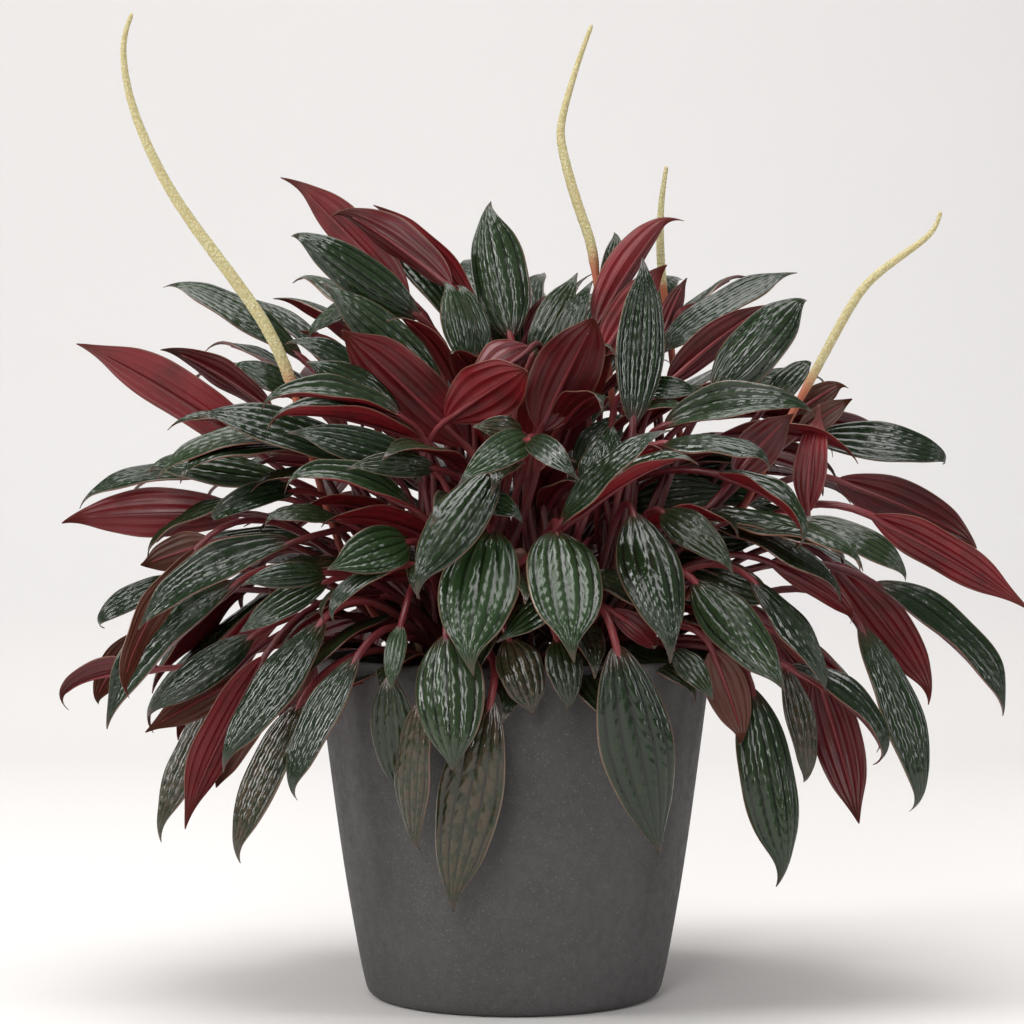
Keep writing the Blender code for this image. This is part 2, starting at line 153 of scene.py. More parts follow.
# How a leaf looks: age (1 bronze, 0 plain, -1 light green) and how far its
# edges turn up, as a share of its half width.
STYLES = {
    "plain": (0.0, 0.10),
    "dark": (0.25, 0.05),
    "bronze": (1.0, -0.10),
    "light": (-0.8, -0.02),
    "folded": (0.0, 0.60),
    "arched": (0.0, -0.32),
}
FAR_STYLES = ("plain", "arched", "dark")
SOLID_STYLES = {
    2: "arched", 3: "arched", 5: "arched", 7: "folded", 9: "arched", 10: "folded",
    14: "folded", 17: "arched", 18: "arched", 19: "arched", 21: "arched",
    22: "light", 23: "light", 24: "light", 25: "arched", 26: "bronze", 27: "light",
    31: "arched", 33: "folded", 34: "arched", 36: "bronze",
}

# Leaves seen in the photo that have no solid of their own.
MORE_LEAVES = (
    ((-22, 250, 4), (-64.5, 278.5, 6), 13, -1, 3, 3, "folded"),
    ((-12, 238, 2), (-49, 280, 12), 11, -1, 2, 1, "plain"),
    ((-45, 247, 4), (-75, 232, 0), 7, 1, 6, 0, "arched"),
    ((-50, 214, 0), (-75, 236, 4), 7, -1, 2, 0, "plain"),
    ((-44, 211, -26), (-81, 232, -34), 9, 1, 4, 3, "plain"),
    ((-40, 205, -30), (-74, 224.5, -42), 15, 1, 3, 1, "arched"),
    ((-16, 222, -18), (-24, 254, -12), 12, 1, 3, 0, "arched"),
    ((-10, 224, -12), (-20, 253, -8), 8, 1, 3, 0, "plain"),
    ((6, 229, -30), (-18, 214, -48), 17, -1, -4, 0, "folded"),
    ((-24, 203, -26), (6, 222, -58), 22, -1, 3, 0, "plain"),
    ((31, 226, -12), (54, 259, -8), 14, -1, 3, 2, "plain"),
    ((33, 240, 24), (36.5, 271, 36), 10, 1, 2, 0, "dark"),
    ((6, 225, -4), (23, 255.5, -2), 12, 1, 3, 0, "dark"),
    ((14, 222, -8), (28, 253, -8), 9, 1, 3, 0, "plain"),
    ((4, 232, 14), (16, 249.5, 18), 8, -1, 2, 0, "plain"),
    ((52, 232, 22), (61, 253.5, 28), 8, -1, 2, 0, "plain"),
    ((56, 236, 20), (70, 244.5, 26), 7, -1, 3, 2, "plain"),
    ((50, 226, 0), (100, 256, 10), 11, 1, 3, 2, "plain"),
    ((54, 216, -14), (91, 245, -8), 12, -1, 3, 0, "plain"),
    ((89, 208, -4), (106, 225, 0), 10, 1, 3, 0, "plain"),
    ((100, 206, -2), (117.5, 217, 0), 9, -1, 2, 0, "bronze"),
    ((100, 198, -6), (120, 211, -4), 9, -1, 2, 0, "bronze"),
    ((42, 214, -30), (67, 213, -38), 8, 1, 4, 1, "plain"),
    ((78, 183, -44), (99, 206, -40), 15, -1, 3, 0, "plain"),
    ((104, 170, -26), (108.5, 206, -16), 12, -1, -6, 0, "plain"),
    ((101, 168, -34), (140, 146, -40), 10, 1, 5, 6, "dark"),
    ((90, 153, -30), (122, 131, -36), 9, -1, 4, 3, "plain"),
    ((97, 116, -46), (131, 80, -50), 8, 1, 6, 6, "folded"),
    ((84, 147, -52), (111, 106.5, -60), 10, 1, 5, 4, "arched"),
    ((52, 171, -46), (79, 150.5, -72), 13, 1, 4, 0, "dark"),
    ((42, 171, -62), (57, 119, -98), 21, 1, 4, 0, "arched"),
    ((96, 116, -28), (103, 73, -30), 10, 1, 4, 4, "bronze"),
    ((70, 122, -54), (82, 88, -52), 15, -1, 3, 0, "bronze"),
    ((56, 122, -66), (71, 104, -74), 9, 1, 4, 0, "dark"),
    ((52, 195, -60), (93, 188, -80), 7, 1, 4, 3, "arched"),
    ((16, 166, -76), (54, 201, -96), 9, 1, 3, 0, "plain"),
    ((20, 167, -72), (65, 190, -92), 3, 1, 3, 3, "folded"),
    ((72, 184, -46), (104, 158, -62), 5, 1, 5, 4, "folded"),
    ((3, 198, -66), (-15, 201, -80), 9, 1, 4, 1, "bronze"),
    ((5, 196, -74), (23, 182, -96), 9, 1, 5, 1, "plain"),
    ((27, 175, -66), (36, 202, -62), 15, 1, 2, 0, "arched"),
    ((-12, 176, -70), (4, 168, -84), 8, 1, 3, 0, "plain"),
    ((-33, 104, -84), (-35, 49, -74), 12, 1, 4, 0, "bronze"),
    ((-44, 113, -76), (-39, 68, -68), 15, 1, 4, 0, "dark"),
    ((-40, 131, -84), (-44, 107.5, -90), 7, 1, 2, 0, "light"),
    ((-2, 126, -76), (7, 98, -82), 16, 1, 3, 0, "bronze"),
    ((15, 126, -78), (20, 100, -84), 12, 1, 3, 0, "dark"),
    ((16, 141, -70), (-5, 124.5, -92), 11, 1, 4, 0, "light"),
    ((34, 136, -66), (52, 121, -74), 8, -1, 4, 0, "plain"),
    ((-42, 151, -76), (-66, 131, -90), 6, 1, 4, 5, "plain"),
    ((-85, 206, 10), (-125, 229, 12), 10, -1, 3, 2, "plain"),
    ((-72, 211, -2), (-100, 224, -4), 9, 1, 3, 2, "plain"),
    ((-40, 204, -40), (-91, 209, -52), 7, 1, 5, 3, "folded"),
    ((-33, 196, -44), (-89, 203, -58), 3, 1, 4, 3, "folded"),
    ((-32, 187, -54), (-80, 200, -66), 13, 1, 3, 0, "plain"),
    ((-28, 186, -62), (-59, 187, -78), 9, 1, 3, 0, "dark"),
    ((-100, 184, 6), (-155, 173, 4), 7, 1, 4, 4, "plain"),
    ((-78, 178, -30), (-109, 166, -42), 9, 1, 5, 6, "folded"),
    ((-36, 172, -62), (-83, 182, -74), 8, 1, 5, 3, "folded"),
    ((-106, 160, -14), (-133, 151, -16), 13, -1, 3, 0, "bronze"),
    ((-62, 168, -52), (-90, 168, -62), 6, 1, 3, 1, "dark"),
    ((-112, 158, -38), (-139, 104, -44), 10, -1, 5, 3, "bronze"),
    ((-78, 160, -46), (-134, 129, -54), 13, 1, 4, 2, "folded"),
    ((-118, 147, 2), (-149, 129, 0), 9, 1, 5, 5, "plain"),
    ((-66, 149, -66), (-97, 145.5, -80), 9, 1, 4, 1, "arched"),
    ((-92, 127, -32), (-131, 99, -40), 13, 1, 3, 0, "arched"),
    ((-96, 112, -22), (-131, 92.5, -28), 12, -1, 3, 0, "bronze"),
    ((-125, 115, 4), (-162, 101, 4), 6, -1, 4, 8, "folded"),
    ((-133, 128, 6), (-149, 102, 4), 11, -1, 4, 3, "bronze"),
    ((-103, 109, -6), (-128, 53.5, -12), 12, 1, 3, 0, "bronze"),
    ((-88, 120, -38), (-117, 58, -46), 14, -1, 3, 2, "plain"),
    ((-86, 106, -28), (-106, 71.5, -34), 10, -1, 3, 3, "bronze"),
    ((-66, 146, -60), (-98, 127, -72), 10, 1, 4, 1, "plain"),
    ((38, 172, -8), (78, 178, -4), 16, 1, 4, 0, "dark"),
    ((50, 160, -14), (88, 160, -14), 15, 1, 4, 0, "dark"),
    ((60, 182, 4), (98, 176, 10), 16, 1, 4, 0, "plain"),
    ((30, 160, -20), (60, 146, -30), 14, 1, 4, 0, "dark"),
    ((22, 184, -12), (40, 206, -14), 14, 1, 4, 0, "dark"),
    ((62, 150, -24), (94, 138, -30), 14, 1, 4, 0, "dark"),
)

# Rings of leaves on the far side: how many, first and last bearing, radius and
# height of the blade's foot, the same for its tip, the hook and the style.
BACK_RINGS = (
    (5, 58, 122, 84, 128, 112, 62, 4, "bronze"),
    (9, 6, 172, 84, 146, 134, 96, 5, "arched"),
    (9, 10, 174, 82, 170, 142, 138, 5, "plain"),
    (8, 4, 168, 78, 192, 142, 176, 4, "plain"),
    (7, 18, 172, 70, 208, 128, 222, 3, "plain"),
    (6, 24, 160, 50, 226, 100, 250, 2, "arched"),
    (4, 40, 140, 26, 232, 60, 262, 1, "plain"),
    (8, 8, 168, 50, 178, 104, 192, 2, "plain"),
    (4, -14, 12, 66, 196, 124, 186, 4, "plain"),
    (4, -34, 6, 72, 170, 128, 150, 4, "arched"),
    (3, 176, 200, 66, 200, 122, 194, 4, "plain"),
    (8, 16, 176, 56, 150, 112, 156, 2, "plain"),
)
# Short leaves deep inside the plant, all round.
INNER_RINGS = (
    (13, 0, 332, 46, 136, 92, 116, 3, "dark"),
    (14, 12, 346, 48, 152, 98, 140, 3, "dark"),
    (14, 0, 334, 48, 166, 98, 164, 3, "plain"),
    (13, 14, 350, 44, 182, 92, 188, 2, "dark"),
    (12, 4, 334, 38, 196, 82, 212, 2, "plain"),
    (9, 0, 344, 26, 206, 60, 234, 1, "dark"),
    (5, 20, 160, 12, 216, 34, 256, 1, "plain"),
    (9, 200, 340, 40, 118, 86, 108, 3, "dark"),
    (8, 10, 330, 22, 142, 62, 158, 1, "dark"),
    (8, 30, 350, 22, 166, 60, 188, 1, "dark"),
    (7, 0, 320, 16, 190, 48, 222, 1, "dark"),
)

# Fineness of the leaf meshes: stations along the blade, columns across it.
FINE = (36, 24)
MIDDLING = (30, 24)
PLAIN = (22, 18)
COARSE = (15, 12)
STALK_STATIONS = 16
STALK_SIDES = 8

# Relief of a blade: places of its grooves as shares of its half width, with ridges
# and slanting folds between them, in full where the half width reaches FULL_RELIEF.
GROOVES = (-1.0, -0.76, -0.40, 0.0, 0.40, 0.76, 1.0)
EDGE_RIDGE = 0.5
RIDGE_HEIGHT = 0.95 * MM
FOLD_HEIGHT = 0.06 * MM
FOLD_PITCH = 9.5 * MM
RIPPLE_PITCH = 4.6 * MM
RIPPLE_SLANT = 1.15
FULL_RELIEF = 9 * MM
EDGE_WAVE = 1.1 * MM
TIP_CURL = 3.2 * MM
LEAST_HALF_WIDTH = 0.22 * MM

# Stalk and midrib in mm, and the share of the blade that the midrib runs along.
STALK_DEPTH = 2.2
SOLID_STALK = 1.35
EXTRA_STALK = 1.15
RIB_END = 0.28
RIB_SHARE = 0.82

# Radius of the soil surface in mm.
SOIL_RADIUS = 63.6

# Lamps: name, place, aim, width, height, power and colour.
PLANT_AIM = (0.0, 0.0, 0.15)
LAMPS = (
    ("window", (-1.90, -0.70, 1.20), PLANT_AIM, 0.65, 1.2, 26.0, (1.0, 0.985, 0.965)),
    ("overhead", (-0.12, -0.22, 1.9), PLANT_AIM, 1.4, 1.4, 28.0, (1.0, 0.99, 0.98)),
    ("front_left", (-0.32, -1.72, 0.80), PLANT_AIM, 0.42, 1.0, 11.0, (1.0, 0.99, 0.98)),
    ("side_strip", (1.8, -0.50, 0.85), PLANT_AIM, 0.25, 1.2, 7.5, (1.0, 0.99, 1.0)),
    ("wall_wash", (0.0, 0.30, 2.2), (0.0, 1.5, 0.8), 1.6, 1.2, 7.0, (1.0, 0.99, 0.98)),
)


def unit(v):
    return v / np.linalg.norm(v)


def turned(radius, bearing, height):
    """Point at a bearing in radians round the pot's axis."""
    return np.array((radius * math.cos(bearing), radius * math.sin(bearing), height))


def lift(x, z, depth):
    """Point seen at (x, z) on the measuring plane, at the given depth."""
    plane = np.array((x, 0.0, z)) * MM
    return EYE + (plane - EYE) * (EYE[1] - depth * MM) / EYE[1]


def bezier(p, t):
    """Points and directions on a cubic curve."""
    t = np.asarray(t, float)[:, None]
    s = 1.0 - t
    point = s**3 * p[0] + 3 * s * s * t * p[1] + 3 * s * t * t * p[2] + t**3 * p[3]
    slope = 3 * (s * s * (p[1] - p[0]) + 2 * s * t * (p[2] - p[1]) + t * t * (p[3] - p[2]))
    return point, slope / np.linalg.norm(slope, axis=1)[:, None]


# Where leaves, stems and spikes stand: the same forms and moves as the solids.


def photo_leaf(row, push):
    """Foot, tip, upper-side direction and width of a leaf read off the photo."""
    (xf, zf, yf), (xt, zt, yt), seen, side, bow, hook = row[:6]
    foot = lift(xf, zf, yf + push)
    tip = lift(xt, zt, yt + push)
    along = unit(tip - foot)
    middle = 0.5 * (foot + tip)
    to_eye = EYE - middle
    facing = unit(to_eye - along * (to_eye @ along))
    edge = np.cross(along, facing)
    outward = unit(np.array((middle[0], middle[1], 0.0)))
    if edge[2] + 0.3 * (edge @ outward) < 0:
        edge = -edge
    length = np.linalg.norm(tip - foot)
    width = max(1.03 * seen * MM, min(WIDEST_LEAF * MM, SLENDERNESS * length))
    share = min(seen * MM / width, 0.97)
    upper = side * share * facing + math.sqrt(1 - share * share) * edge
    return foot, tip, unit(upper), width, bow * MM, hook * MM


def back_leaf(row, turn):
    """The same for a leaf placed by bearing, radius and height."""
    bearing, foot_r, foot_z, tip_r, tip_z, hook = row[:6]
    a = math.radians(bearing + turn)
    b = math.radians(bearing + turn * 1.1 + 4.0 * math.sin(bearing))
    foot = turned(foot_r, a, foot_z) * MM
    tip = turned(tip_r, b, tip_z) * MM
    along = unit(tip - foot)
    across = np.cross(np.array((0.0, 0.0, 1.0)), turned(1.0, a, 0.0))
    roll = 0.35 * math.sin(3.1 * bearing)
    upper = np.cross(along, across)
    upper = unit(upper - along * (upper @ along))
    upper = unit(upper * math.cos(roll) + np.cross(along, upper) * math.sin(roll))
    length = np.linalg.norm(tip - foot)
    return foot, tip, upper, min(WIDEST_LEAF * MM, 0.33 * length), 5 * MM, hook * MM


def half_width(t):
    """Outline of the blade: widest two fifths of the way out, drawn out to a point."""
    return (t**0.8 * (1.0 - t) ** 1.1) / 0.2744


def leaf_curves(shape, start, heading, sway):
    """The way across the blade, and the curves of its midrib and its stalk."""
    foot, tip, upper, width, bow, hook = shape
    along = unit(tip - foot)
    across = unit(np.cross(along, upper))
    upper = np.cross(across, along)
    length = np.linalg.norm(tip - foot)
    bent = min(1.0, hook / (8 * MM))
    mid_a = foot + along * length * 0.33 + upper * bow * 1.25
    mid_b = tip - along * length * (0.30 - 0.16 * bent) + upper * (bow * 1.1 + hook)
    midrib = (foot, mid_a, mid_b, tip)
    leave = bezier(midrib, (0.0,))[1][0]
    reach = np.linalg.norm(foot - start)
    sideways = unit(np.cross(heading, foot - start)) * sway
    stalk = (start, start + heading * reach * 0.42 + sideways * MM,
             foot - leave * reach * 0.36 + sideways * 0.6 * MM, foot)
    return across, midrib, stalk


def leaf_section(t, width, extra):
    """Corners of the solid's cross section: along its width and its thickness."""
    blend = min(1.0, max(0.0, t) / 0.16)
    half = thick = STALK_RADIUS * MM + extra
    if blend > 0:
        half = max(width * 0.5 * float(half_width(t)), 0.0006) + extra
        flat = (0.5 * BLADE_THICKNESS * MM) * (1.0 - 0.55 * t) + extra
        thick = thick + (flat - thick) * blend
    for k in range(8):
        c = math.cos(math.pi * k / 4)
        s = math.sin(math.pi * k / 4)
        pinch = 1.0 if k % 4 == 0 else 1 - 0.2 * blend
        yield c * pinch * half, s * thick + 0.10 * blend * c * c * half


def leaf_shape(shape, start, heading, sway, grow):
    """The solid leaf: rings of eight points from its stem to its tip."""
    across, midrib, stalk_curve = leaf_curves(shape, start, heading, sway)
    tip, width = shape[1], shape[3]
    extra = grow * MM
    t_blade = np.linspace(0.0, 1.0, BLADE_RINGS + 1)[:-1] ** 0.85
    blade, blade_dir = bezier(midrib, t_blade)
    stalk, stalk_dir = bezier(stalk_curve, np.linspace(0.0, 1.0, STALK_RINGS + 1)[:-1])
    points = np.vstack((stalk, blade))
    slopes = np.vstack((stalk_dir, blade_dir))
    sides = carry(across, slopes[::-1])[::-1]
    spans = (-1.0,) * STALK_RINGS + tuple(t_blade)
    verts = []
    for point, slope, side, t in zip(points, slopes, sides, spans):
        lifted = np.cross(side, slope)
        verts += [point + side * x + lifted * z for x, z in leaf_section(t, width, extra)]
    end = len(verts)
    verts.append(tip + unit(tip - points[-1]) * extra)
    faces = [tuple(range(7, -1, -1))]
    for i in range(0, end - 8, 8):
        for k in range(8):
            a, b = i + k, i + (k + 1) % 8
            faces.append((a, b, b + 8, a + 8))
    faces += [(end - 8 + k, end - 8 + (k + 1) % 8, end) for k in range(8)]
    return verts, faces


def directions(path):
    slopes = np.gradient(path, axis=0)
    return slopes / np.linalg.norm(slopes, axis=1)[:, None]


def carry(side, slopes):
    """The sideways vector carried along a path without twisting."""
    sides = []
    for slope in slopes:
        side = unit(side - slope * (side @ slope))
        sides.append(side)
    return np.array(sides)


def choose_crown(foot, load):
    """The stem that faces the leaf and is not already full."""
    costs = []
    for i, (_, x, y, _) in enumerate(CROWNS):
        away = math.hypot(foot[0] / MM * 0.36 - x, foot[1] / MM * 0.36 - y)
        tall = 0.10 * (foot[2] / MM - 200.0) if i == 0 else 0.0
        costs.append(away + 3.2 * load[i] - tall)
    return costs.index(min(costs))


def stalk_start(crown, foot, step):
    """Where a stalk leaves its stem, and the way it sets off."""
    _, x, y, _ = CROWNS[crown]
    out = turned(1.0, math.atan2(foot[1] / MM - y, foot[0] / MM - x), 0.0)
    start = np.array((x, y, SOIL_TOP + 5.0 + step)) * MM
    start = start + out * (CROWN_RADIUS + ATTACH_GAP) * MM
    heading = unit(out * 0.75 + np.array((0.0, 0.0, 0.66)))
    return start, heading


def spike_curves(row, crown, step, sway, depth):
    """Points of a flower spike from its foot to its tip, and the curve of its stalk,
    which starts at a depth in mm inside the stem."""
    _, (y_foot, y_tip), readings, _ = row
    last = len(readings) - 1
    upper = np.array([lift(x, z, y_foot + (y_tip - y_foot) * i / last)
                      for i, (x, z) in enumerate(reversed(readings))])
    foot = upper[0]
    start, heading = stalk_start(crown, foot, step)
    reach = np.linalg.norm(foot - start)
    aside = unit(np.cross(heading, foot - start)) * sway * MM
    bend = (start - heading * depth * MM, start + heading * reach * 0.4 + aside,
            foot - unit(upper[1] - foot) * reach * 0.35, foot)
    return upper, bend


def spike_radius(t, thick, swell):
    """Radius in mm: thin where the stalk ends, then full, then thin to the tip."""
    r = SPIKE_STALK_RADIUS + (thick - SPIKE_STALK_RADIUS) * swell
    return r + (SPIKE_TIP_RADIUS - r) * max(0.0, (t - 0.35) / 0.65) ** 1.3


def spike_solid(row, crown, step, sway, grow):
    """The solid flower spike: a round closed body with eight sides."""
    upper, bend = spike_curves(row, crown, step, sway, 0.0)
    low = bezier(bend, np.linspace(0, 1, 9)[:-1])[0]
    knots = np.linspace(0, len(upper) - 1, 13)
    fine = np.array([np.interp(knots, np.arange(len(upper)), upper[:, k]) for k in range(3)]).T
    radii = [SPIKE_STALK_RADIUS] * len(low)
    for i in range(len(fine)):
        t = i / (len(fine) - 1)
        radii.append(spike_radius(t, row[3], min(1.0, t / 0.08)))
    path = np.vstack((low, fine))
    return tube(path, [(r + grow) * MM for r in radii], 8)


def tube(path, radii, sides):
    """Round closed body along a path."""
    slopes = np.gradient(path, axis=0)
    side = np.array((1.0, 0.0, 0.0))
    verts = [tuple(path[0])]
    for point, slope, radius in zip(path, slopes, radii):
        slope = unit(slope)
        side = unit(side - slope * (side @ slope))
        lifted = np.cross(slope, side)
        for k in range(sides):
            a = 2 * math.pi * k / sides
            offset = side * math.cos(a) + lifted * math.sin(a)
            verts.append(tuple(point + offset * radius))
    verts.append(tuple(path[-1]))
    return verts, wrapped(len(path), sides)


def lathe(outline, sides):
    """Turned solid from (radius, height) pairs that start and end on the axis."""
    verts = [(0.0, 0.0, outline[0][1])]
    for radius, height in outline[1:-1]:
        for k in range(sides):
            a = 2 * math.pi * k / sides
            verts.append((radius * math.cos(a), radius * math.sin(a), height))
    verts.append((0.0, 0.0, outline[-1][1]))
    return [tuple(c * MM for c in v) for v in verts], wrapped(len(outline) - 2, sides)


def wrapped(rings, sides):
    """Faces of rings of points between a first and a last point."""
    last = 1 + rings * sides
    faces = []
    for k in range(sides):
        n = (k + 1) % sides
        faces.append((0, 1 + n, 1 + k))
        for a in range(1, last - sides, sides):
            faces.append((a + k, a + n, a + n + sides, a + k + sides))
        faces.append((last - sides + k, last - sides + n, last))
    return faces


def moved(verts, x, y):
    return [(v[0] + x * MM, v[1] + y * MM, v[2]) for v in verts]


def pot_outline():
    """Foot, outer wall, rolled rim, inner wall and floor."""
    return (
        (0, 0), (POT_FOOT_RADIUS, 0), (50.4, 0.7), (51.9, 2.4), (52.7, 5),
        (54.3, 12), (58.1, 33), (61.1, 52), (63.6, 70), (66.9, 95), (69.4, 115),
        (POT_RIM_RADIUS, 118.2), (69.6, 119.5), (68.7, POT_HEIGHT),
        (67.2, POT_HEIGHT), (66.2, 119.3), (65.7, 117.6), (62.7, 95),
        (59.4, 70), (54.0, 34), (50.2, 13), (47.5, 8.4), (44, POT_FLOOR),
        (0, POT_FLOOR),
    )


def soil_outline():
    """The soil fills the pot's hollow, a hair clear of it, with a domed top."""
    low = POT_FLOOR + CLEARANCE
    edge = SOIL_TOP - SOIL_EDGE_DROP
    return (
        (0, low), (43.8, low), (47.1, 8.9), (49.7, 13.4),
        (53.5, 34), (58.9, 70), (62.2, 95), (63.6, edge - 0.6), (62.9, edge),
        (50, SOIL_TOP - 1.2), (30, SOIL_TOP - 0.3), (0, SOIL_TOP),
    )


def crown_outline(top):
    """A short thick stem with a rounded top, its foot set in the soil."""
    low = SOIL_TOP - CROWN_DEPTH
    r = CROWN_RADIUS
    return (
        (0, low), (r * 0.7, low), (r, low + 2), (r, SOIL_TOP + 4), (r, top - 6),
        (r * 0.8, top - 2), (r * 0.45, top - 0.4), (0, top),
    )


# Finding places that are free.


def tree_of(verts, faces):
    return BVHTree.FromPolygons([tuple(v) for v in verts], faces, epsilon=0.0)


def box_of(verts):
    array = np.array(verts)
    return array.min(axis=0), array.max(axis=0)


def keep_place(placed, body):
    placed.append((tree_of(*body), box_of(body[0])))


def touched(body, placed):
    """The bodies already placed that this one runs into, one at a time."""
    low, high = box_of(body[0])
    tree = None
    for other, (other_low, other_high) in placed:
        if np.all(low <= other_high) and np.all(other_low <= high):
            if tree is None:
                tree = tree_of(*body)
            if tree.overlap(other):
                yield other


def free(body, placed):
    return next(touched(body, placed), None) is None


def place_spike(row, crown, room, placed):
    """First height and sway on its stem where a flower spike is clear."""
    for step in range(2, room):
        for sway in (0.0, 8.0, -8.0):
            place = (row, crown, step * STEP, sway)
            if free(spike_solid(*place, CLEARANCE), placed):
                keep_place(placed, spike_solid(*place, 0.0))
                return place[1:]
    return None


def place_leaf(row, maker, moves, crown, steps, placed):
    """First of the small moves that keeps the leaf clear of its neighbours."""
    for move in moves:
        shape = maker(row, move)
        for sway in (0.0, 9.0, -9.0, 18.0, -18.0):
            for step in steps:
                start, heading = stalk_start(crown, shape[0], step)
                if free(leaf_shape(shape, start, heading, sway, CLEARANCE), placed):
                    return shape, start, heading, sway
    return None


def place_solids():
    """Placings of the solids, found by the same small moves as theirs were."""
    placed = []
    keep_place(placed, lathe(pot_outline(), POT_SIDES))
    keep_place(placed, lathe(soil_outline(), SOIL_SIDES))
    for name, x, y, top in CROWNS:
        verts, faces = lathe(crown_outline(top), CROWN_SIDES)
        keep_place(placed, (moved(verts, x, y), faces))
    load = [0] * len(CROWNS)
    room = [int((row[3] - SOIL_TOP - 13.5) / STEP) for row in CROWNS]
    spikes = []
    for row, crown in zip(SPIKES, SPIKE_CROWNS):
        spikes.append(place_spike(row, crown, room[crown], placed))
    leaves = []
    jobs = [(row, photo_leaf, PHOTO_MOVES) for row in PHOTO_LEAVES]
    jobs += [(row, back_leaf, BACK_MOVES) for row in BACK_LEAVES]
    for row, maker, moves in jobs:
        foot = maker(row, 0)[0]
        crown = choose_crown(foot, load)
        wanted = 0.35 * (foot[2] / MM - SOIL_TOP)
        steps = sorted((s * STEP for s in range(room[crown])), key=lambda s: abs(s - wanted))
        found = place_leaf(row, maker, moves, crown, steps[:9], placed)
        keep_place(placed, leaf_shape(*found, 0.0))
        load[crown] += 1
        leaves.append(found)
    return placed, load, spikes, leaves


def blade_only(shape, start, heading, sway, grow):
    """The solid's rings from the blade's foot on, closed there."""
    verts, faces = leaf_shape(shape, start, heading, sway, grow)
    skip = STALK_RINGS * 8
    cut = [tuple(range(7, -1, -1))]
    for face in faces[1:]:
        if min(face) >= skip:
            cut.append(tuple(i - skip for i in face))
    return verts[skip:], cut


def seen_points(found):
    """Points of a blade that the viewer of the photo should still see."""
    verts = leaf_shape(*found, 0.0)[0]
    points = []
    for v in verts[STALK_RINGS * 8::5]:
        far = np.linalg.norm(v - EYE)
        points.append((Vector((v - EYE) / far), far - 2 * MM))
    return points


def hidden_by(body, sights):
    tree = tree_of(*body)
    eye = Vector(EYE)
    return sum(tree.ray_cast(eye, way, far)[0] is not None for way, far in sights)


def place_extra(row, maker, moves, load, placed, sights):
    """As for the solids, but only the blade has to be clear of the others, and it
    may not stand in front of the leaves in the list of sights."""
    best = None
    for move in moves:
        shape = maker(row, move)
        crown = choose_crown(shape[0], load)
        step = min(max(0.35 * (shape[0][2] / MM - SOIL_TOP), 0.0),
                   CROWNS[crown][3] - SOIL_TOP - 14.0)
        found = (shape, *stalk_start(crown, shape[0], step), 0.0)
        grown = blade_only(*found, CLEARANCE)
        hits = len(list(touched(grown, placed)))
        if sights:
            hits += hidden_by(grown, sights) // 2
        if best is None or hits < best[0]:
            best = (hits, found, crown)
        if hits == 0:
            break
    hits, found, crown = best
    keep_place(placed, blade_only(*found, 0.0))
    load[crown] += 1
    return found, hits


def ring_rows(rings, seed, spread):
    """Leaves spaced round the plant in rings, each a little off its place."""
    rng = np.random.default_rng(seed)
    rows = []
    for count, low, high, foot_r, foot_z, tip_r, tip_z, hook, style in rings:
        for i in range(count):
            bearing = low + (high - low) * (i + 0.5 * rng.random()) / max(count - 1, 1)
            long = rng.uniform(0.84, 1.10)
            rows.append((bearing, foot_r + rng.uniform(-8, 8) * spread,
                         foot_z + rng.uniform(-9, 9) * spread,
                         foot_r + (tip_r - foot_r) * long + rng.uniform(-6, 6) * spread,
                         foot_z + (tip_z - foot_z) * long + rng.uniform(-12, 12) * spread,
                         hook * rng.uniform(0.3, 1.6), style))
    return rows


# The leaf as it looks.


def smooth_step(x, low, high):
    t = np.clip((x - low) / (high - low), 0.0, 1.0)
    return t * t * (3 - 2 * t)


def blade_columns(columns, rng):
    """Places across the blade, how far the ridges rise there and how they differ."""
    spans = list(zip(GROOVES, GROOVES[1:]))
    each = columns // len(spans)
    u = np.concatenate([np.linspace(a, b, each, endpoint=False) for a, b in spans] + [[1.0]])
    ridge = np.zeros_like(u)
    shift = np.zeros_like(u)
    for low, high in spans:
        inside = (u >= low) & (u <= high)
        s = np.clip((u[inside] - low) / (high - low), 0.0, 1.0)
        size = EDGE_RIDGE if max(abs(low), abs(high)) == 1.0 else 1.0
        ridge[inside] = np.maximum(ridge[inside], size * (4 * s * (1 - s)) ** 0.5)
        shift[inside] = rng.uniform(0, 1)
    return u, ridge, shift


def blade_relief(t, u, raised, shift, half, length, cup, wave, rng):
    """Height of the blade over its midrib's plane, and the phase of its ripples."""
    grow = np.clip(half / FULL_RELIEF, 0.0, 1.15)
    phase = (t * length - RIPPLE_SLANT * np.abs(u) * half) / RIPPLE_PITCH + shift
    phase = phase + 0.35 * np.sin(7 * t + 9 * shift)
    swell = 0.55 + 0.45 * np.sin(11 * t + 17 * shift + wave)
    folds = np.sin(2 * math.pi * phase * RIPPLE_PITCH / FOLD_PITCH)
    if length / (len(t) - 1) >= FOLD_PITCH / 3.2:
        folds = 0.0
    ridges = RIDGE_HEIGHT * rng.uniform(0.8, 1.15) * (1.0 + 0.18 * np.sin(6 * t + 23 * shift))
    rise = (ridges + FOLD_HEIGHT * swell * folds) * raised * grow
    bend = cup + rng.uniform(-0.08, 0.14)
    rise = rise + bend * half * np.abs(u) ** 1.7
    swing = np.sin(2 * math.pi * 2.3 * t + wave) * np.where(u > 0, 1.0, -0.8)
    rise = rise + EDGE_WAVE * rng.uniform(0.3, 1.0) * swing * u**2 * grow
    thick = (0.95 - 0.6 * u**2) * MM * np.clip(grow * 1.6, 0.35, 1.0)
    return rise, thick, phase


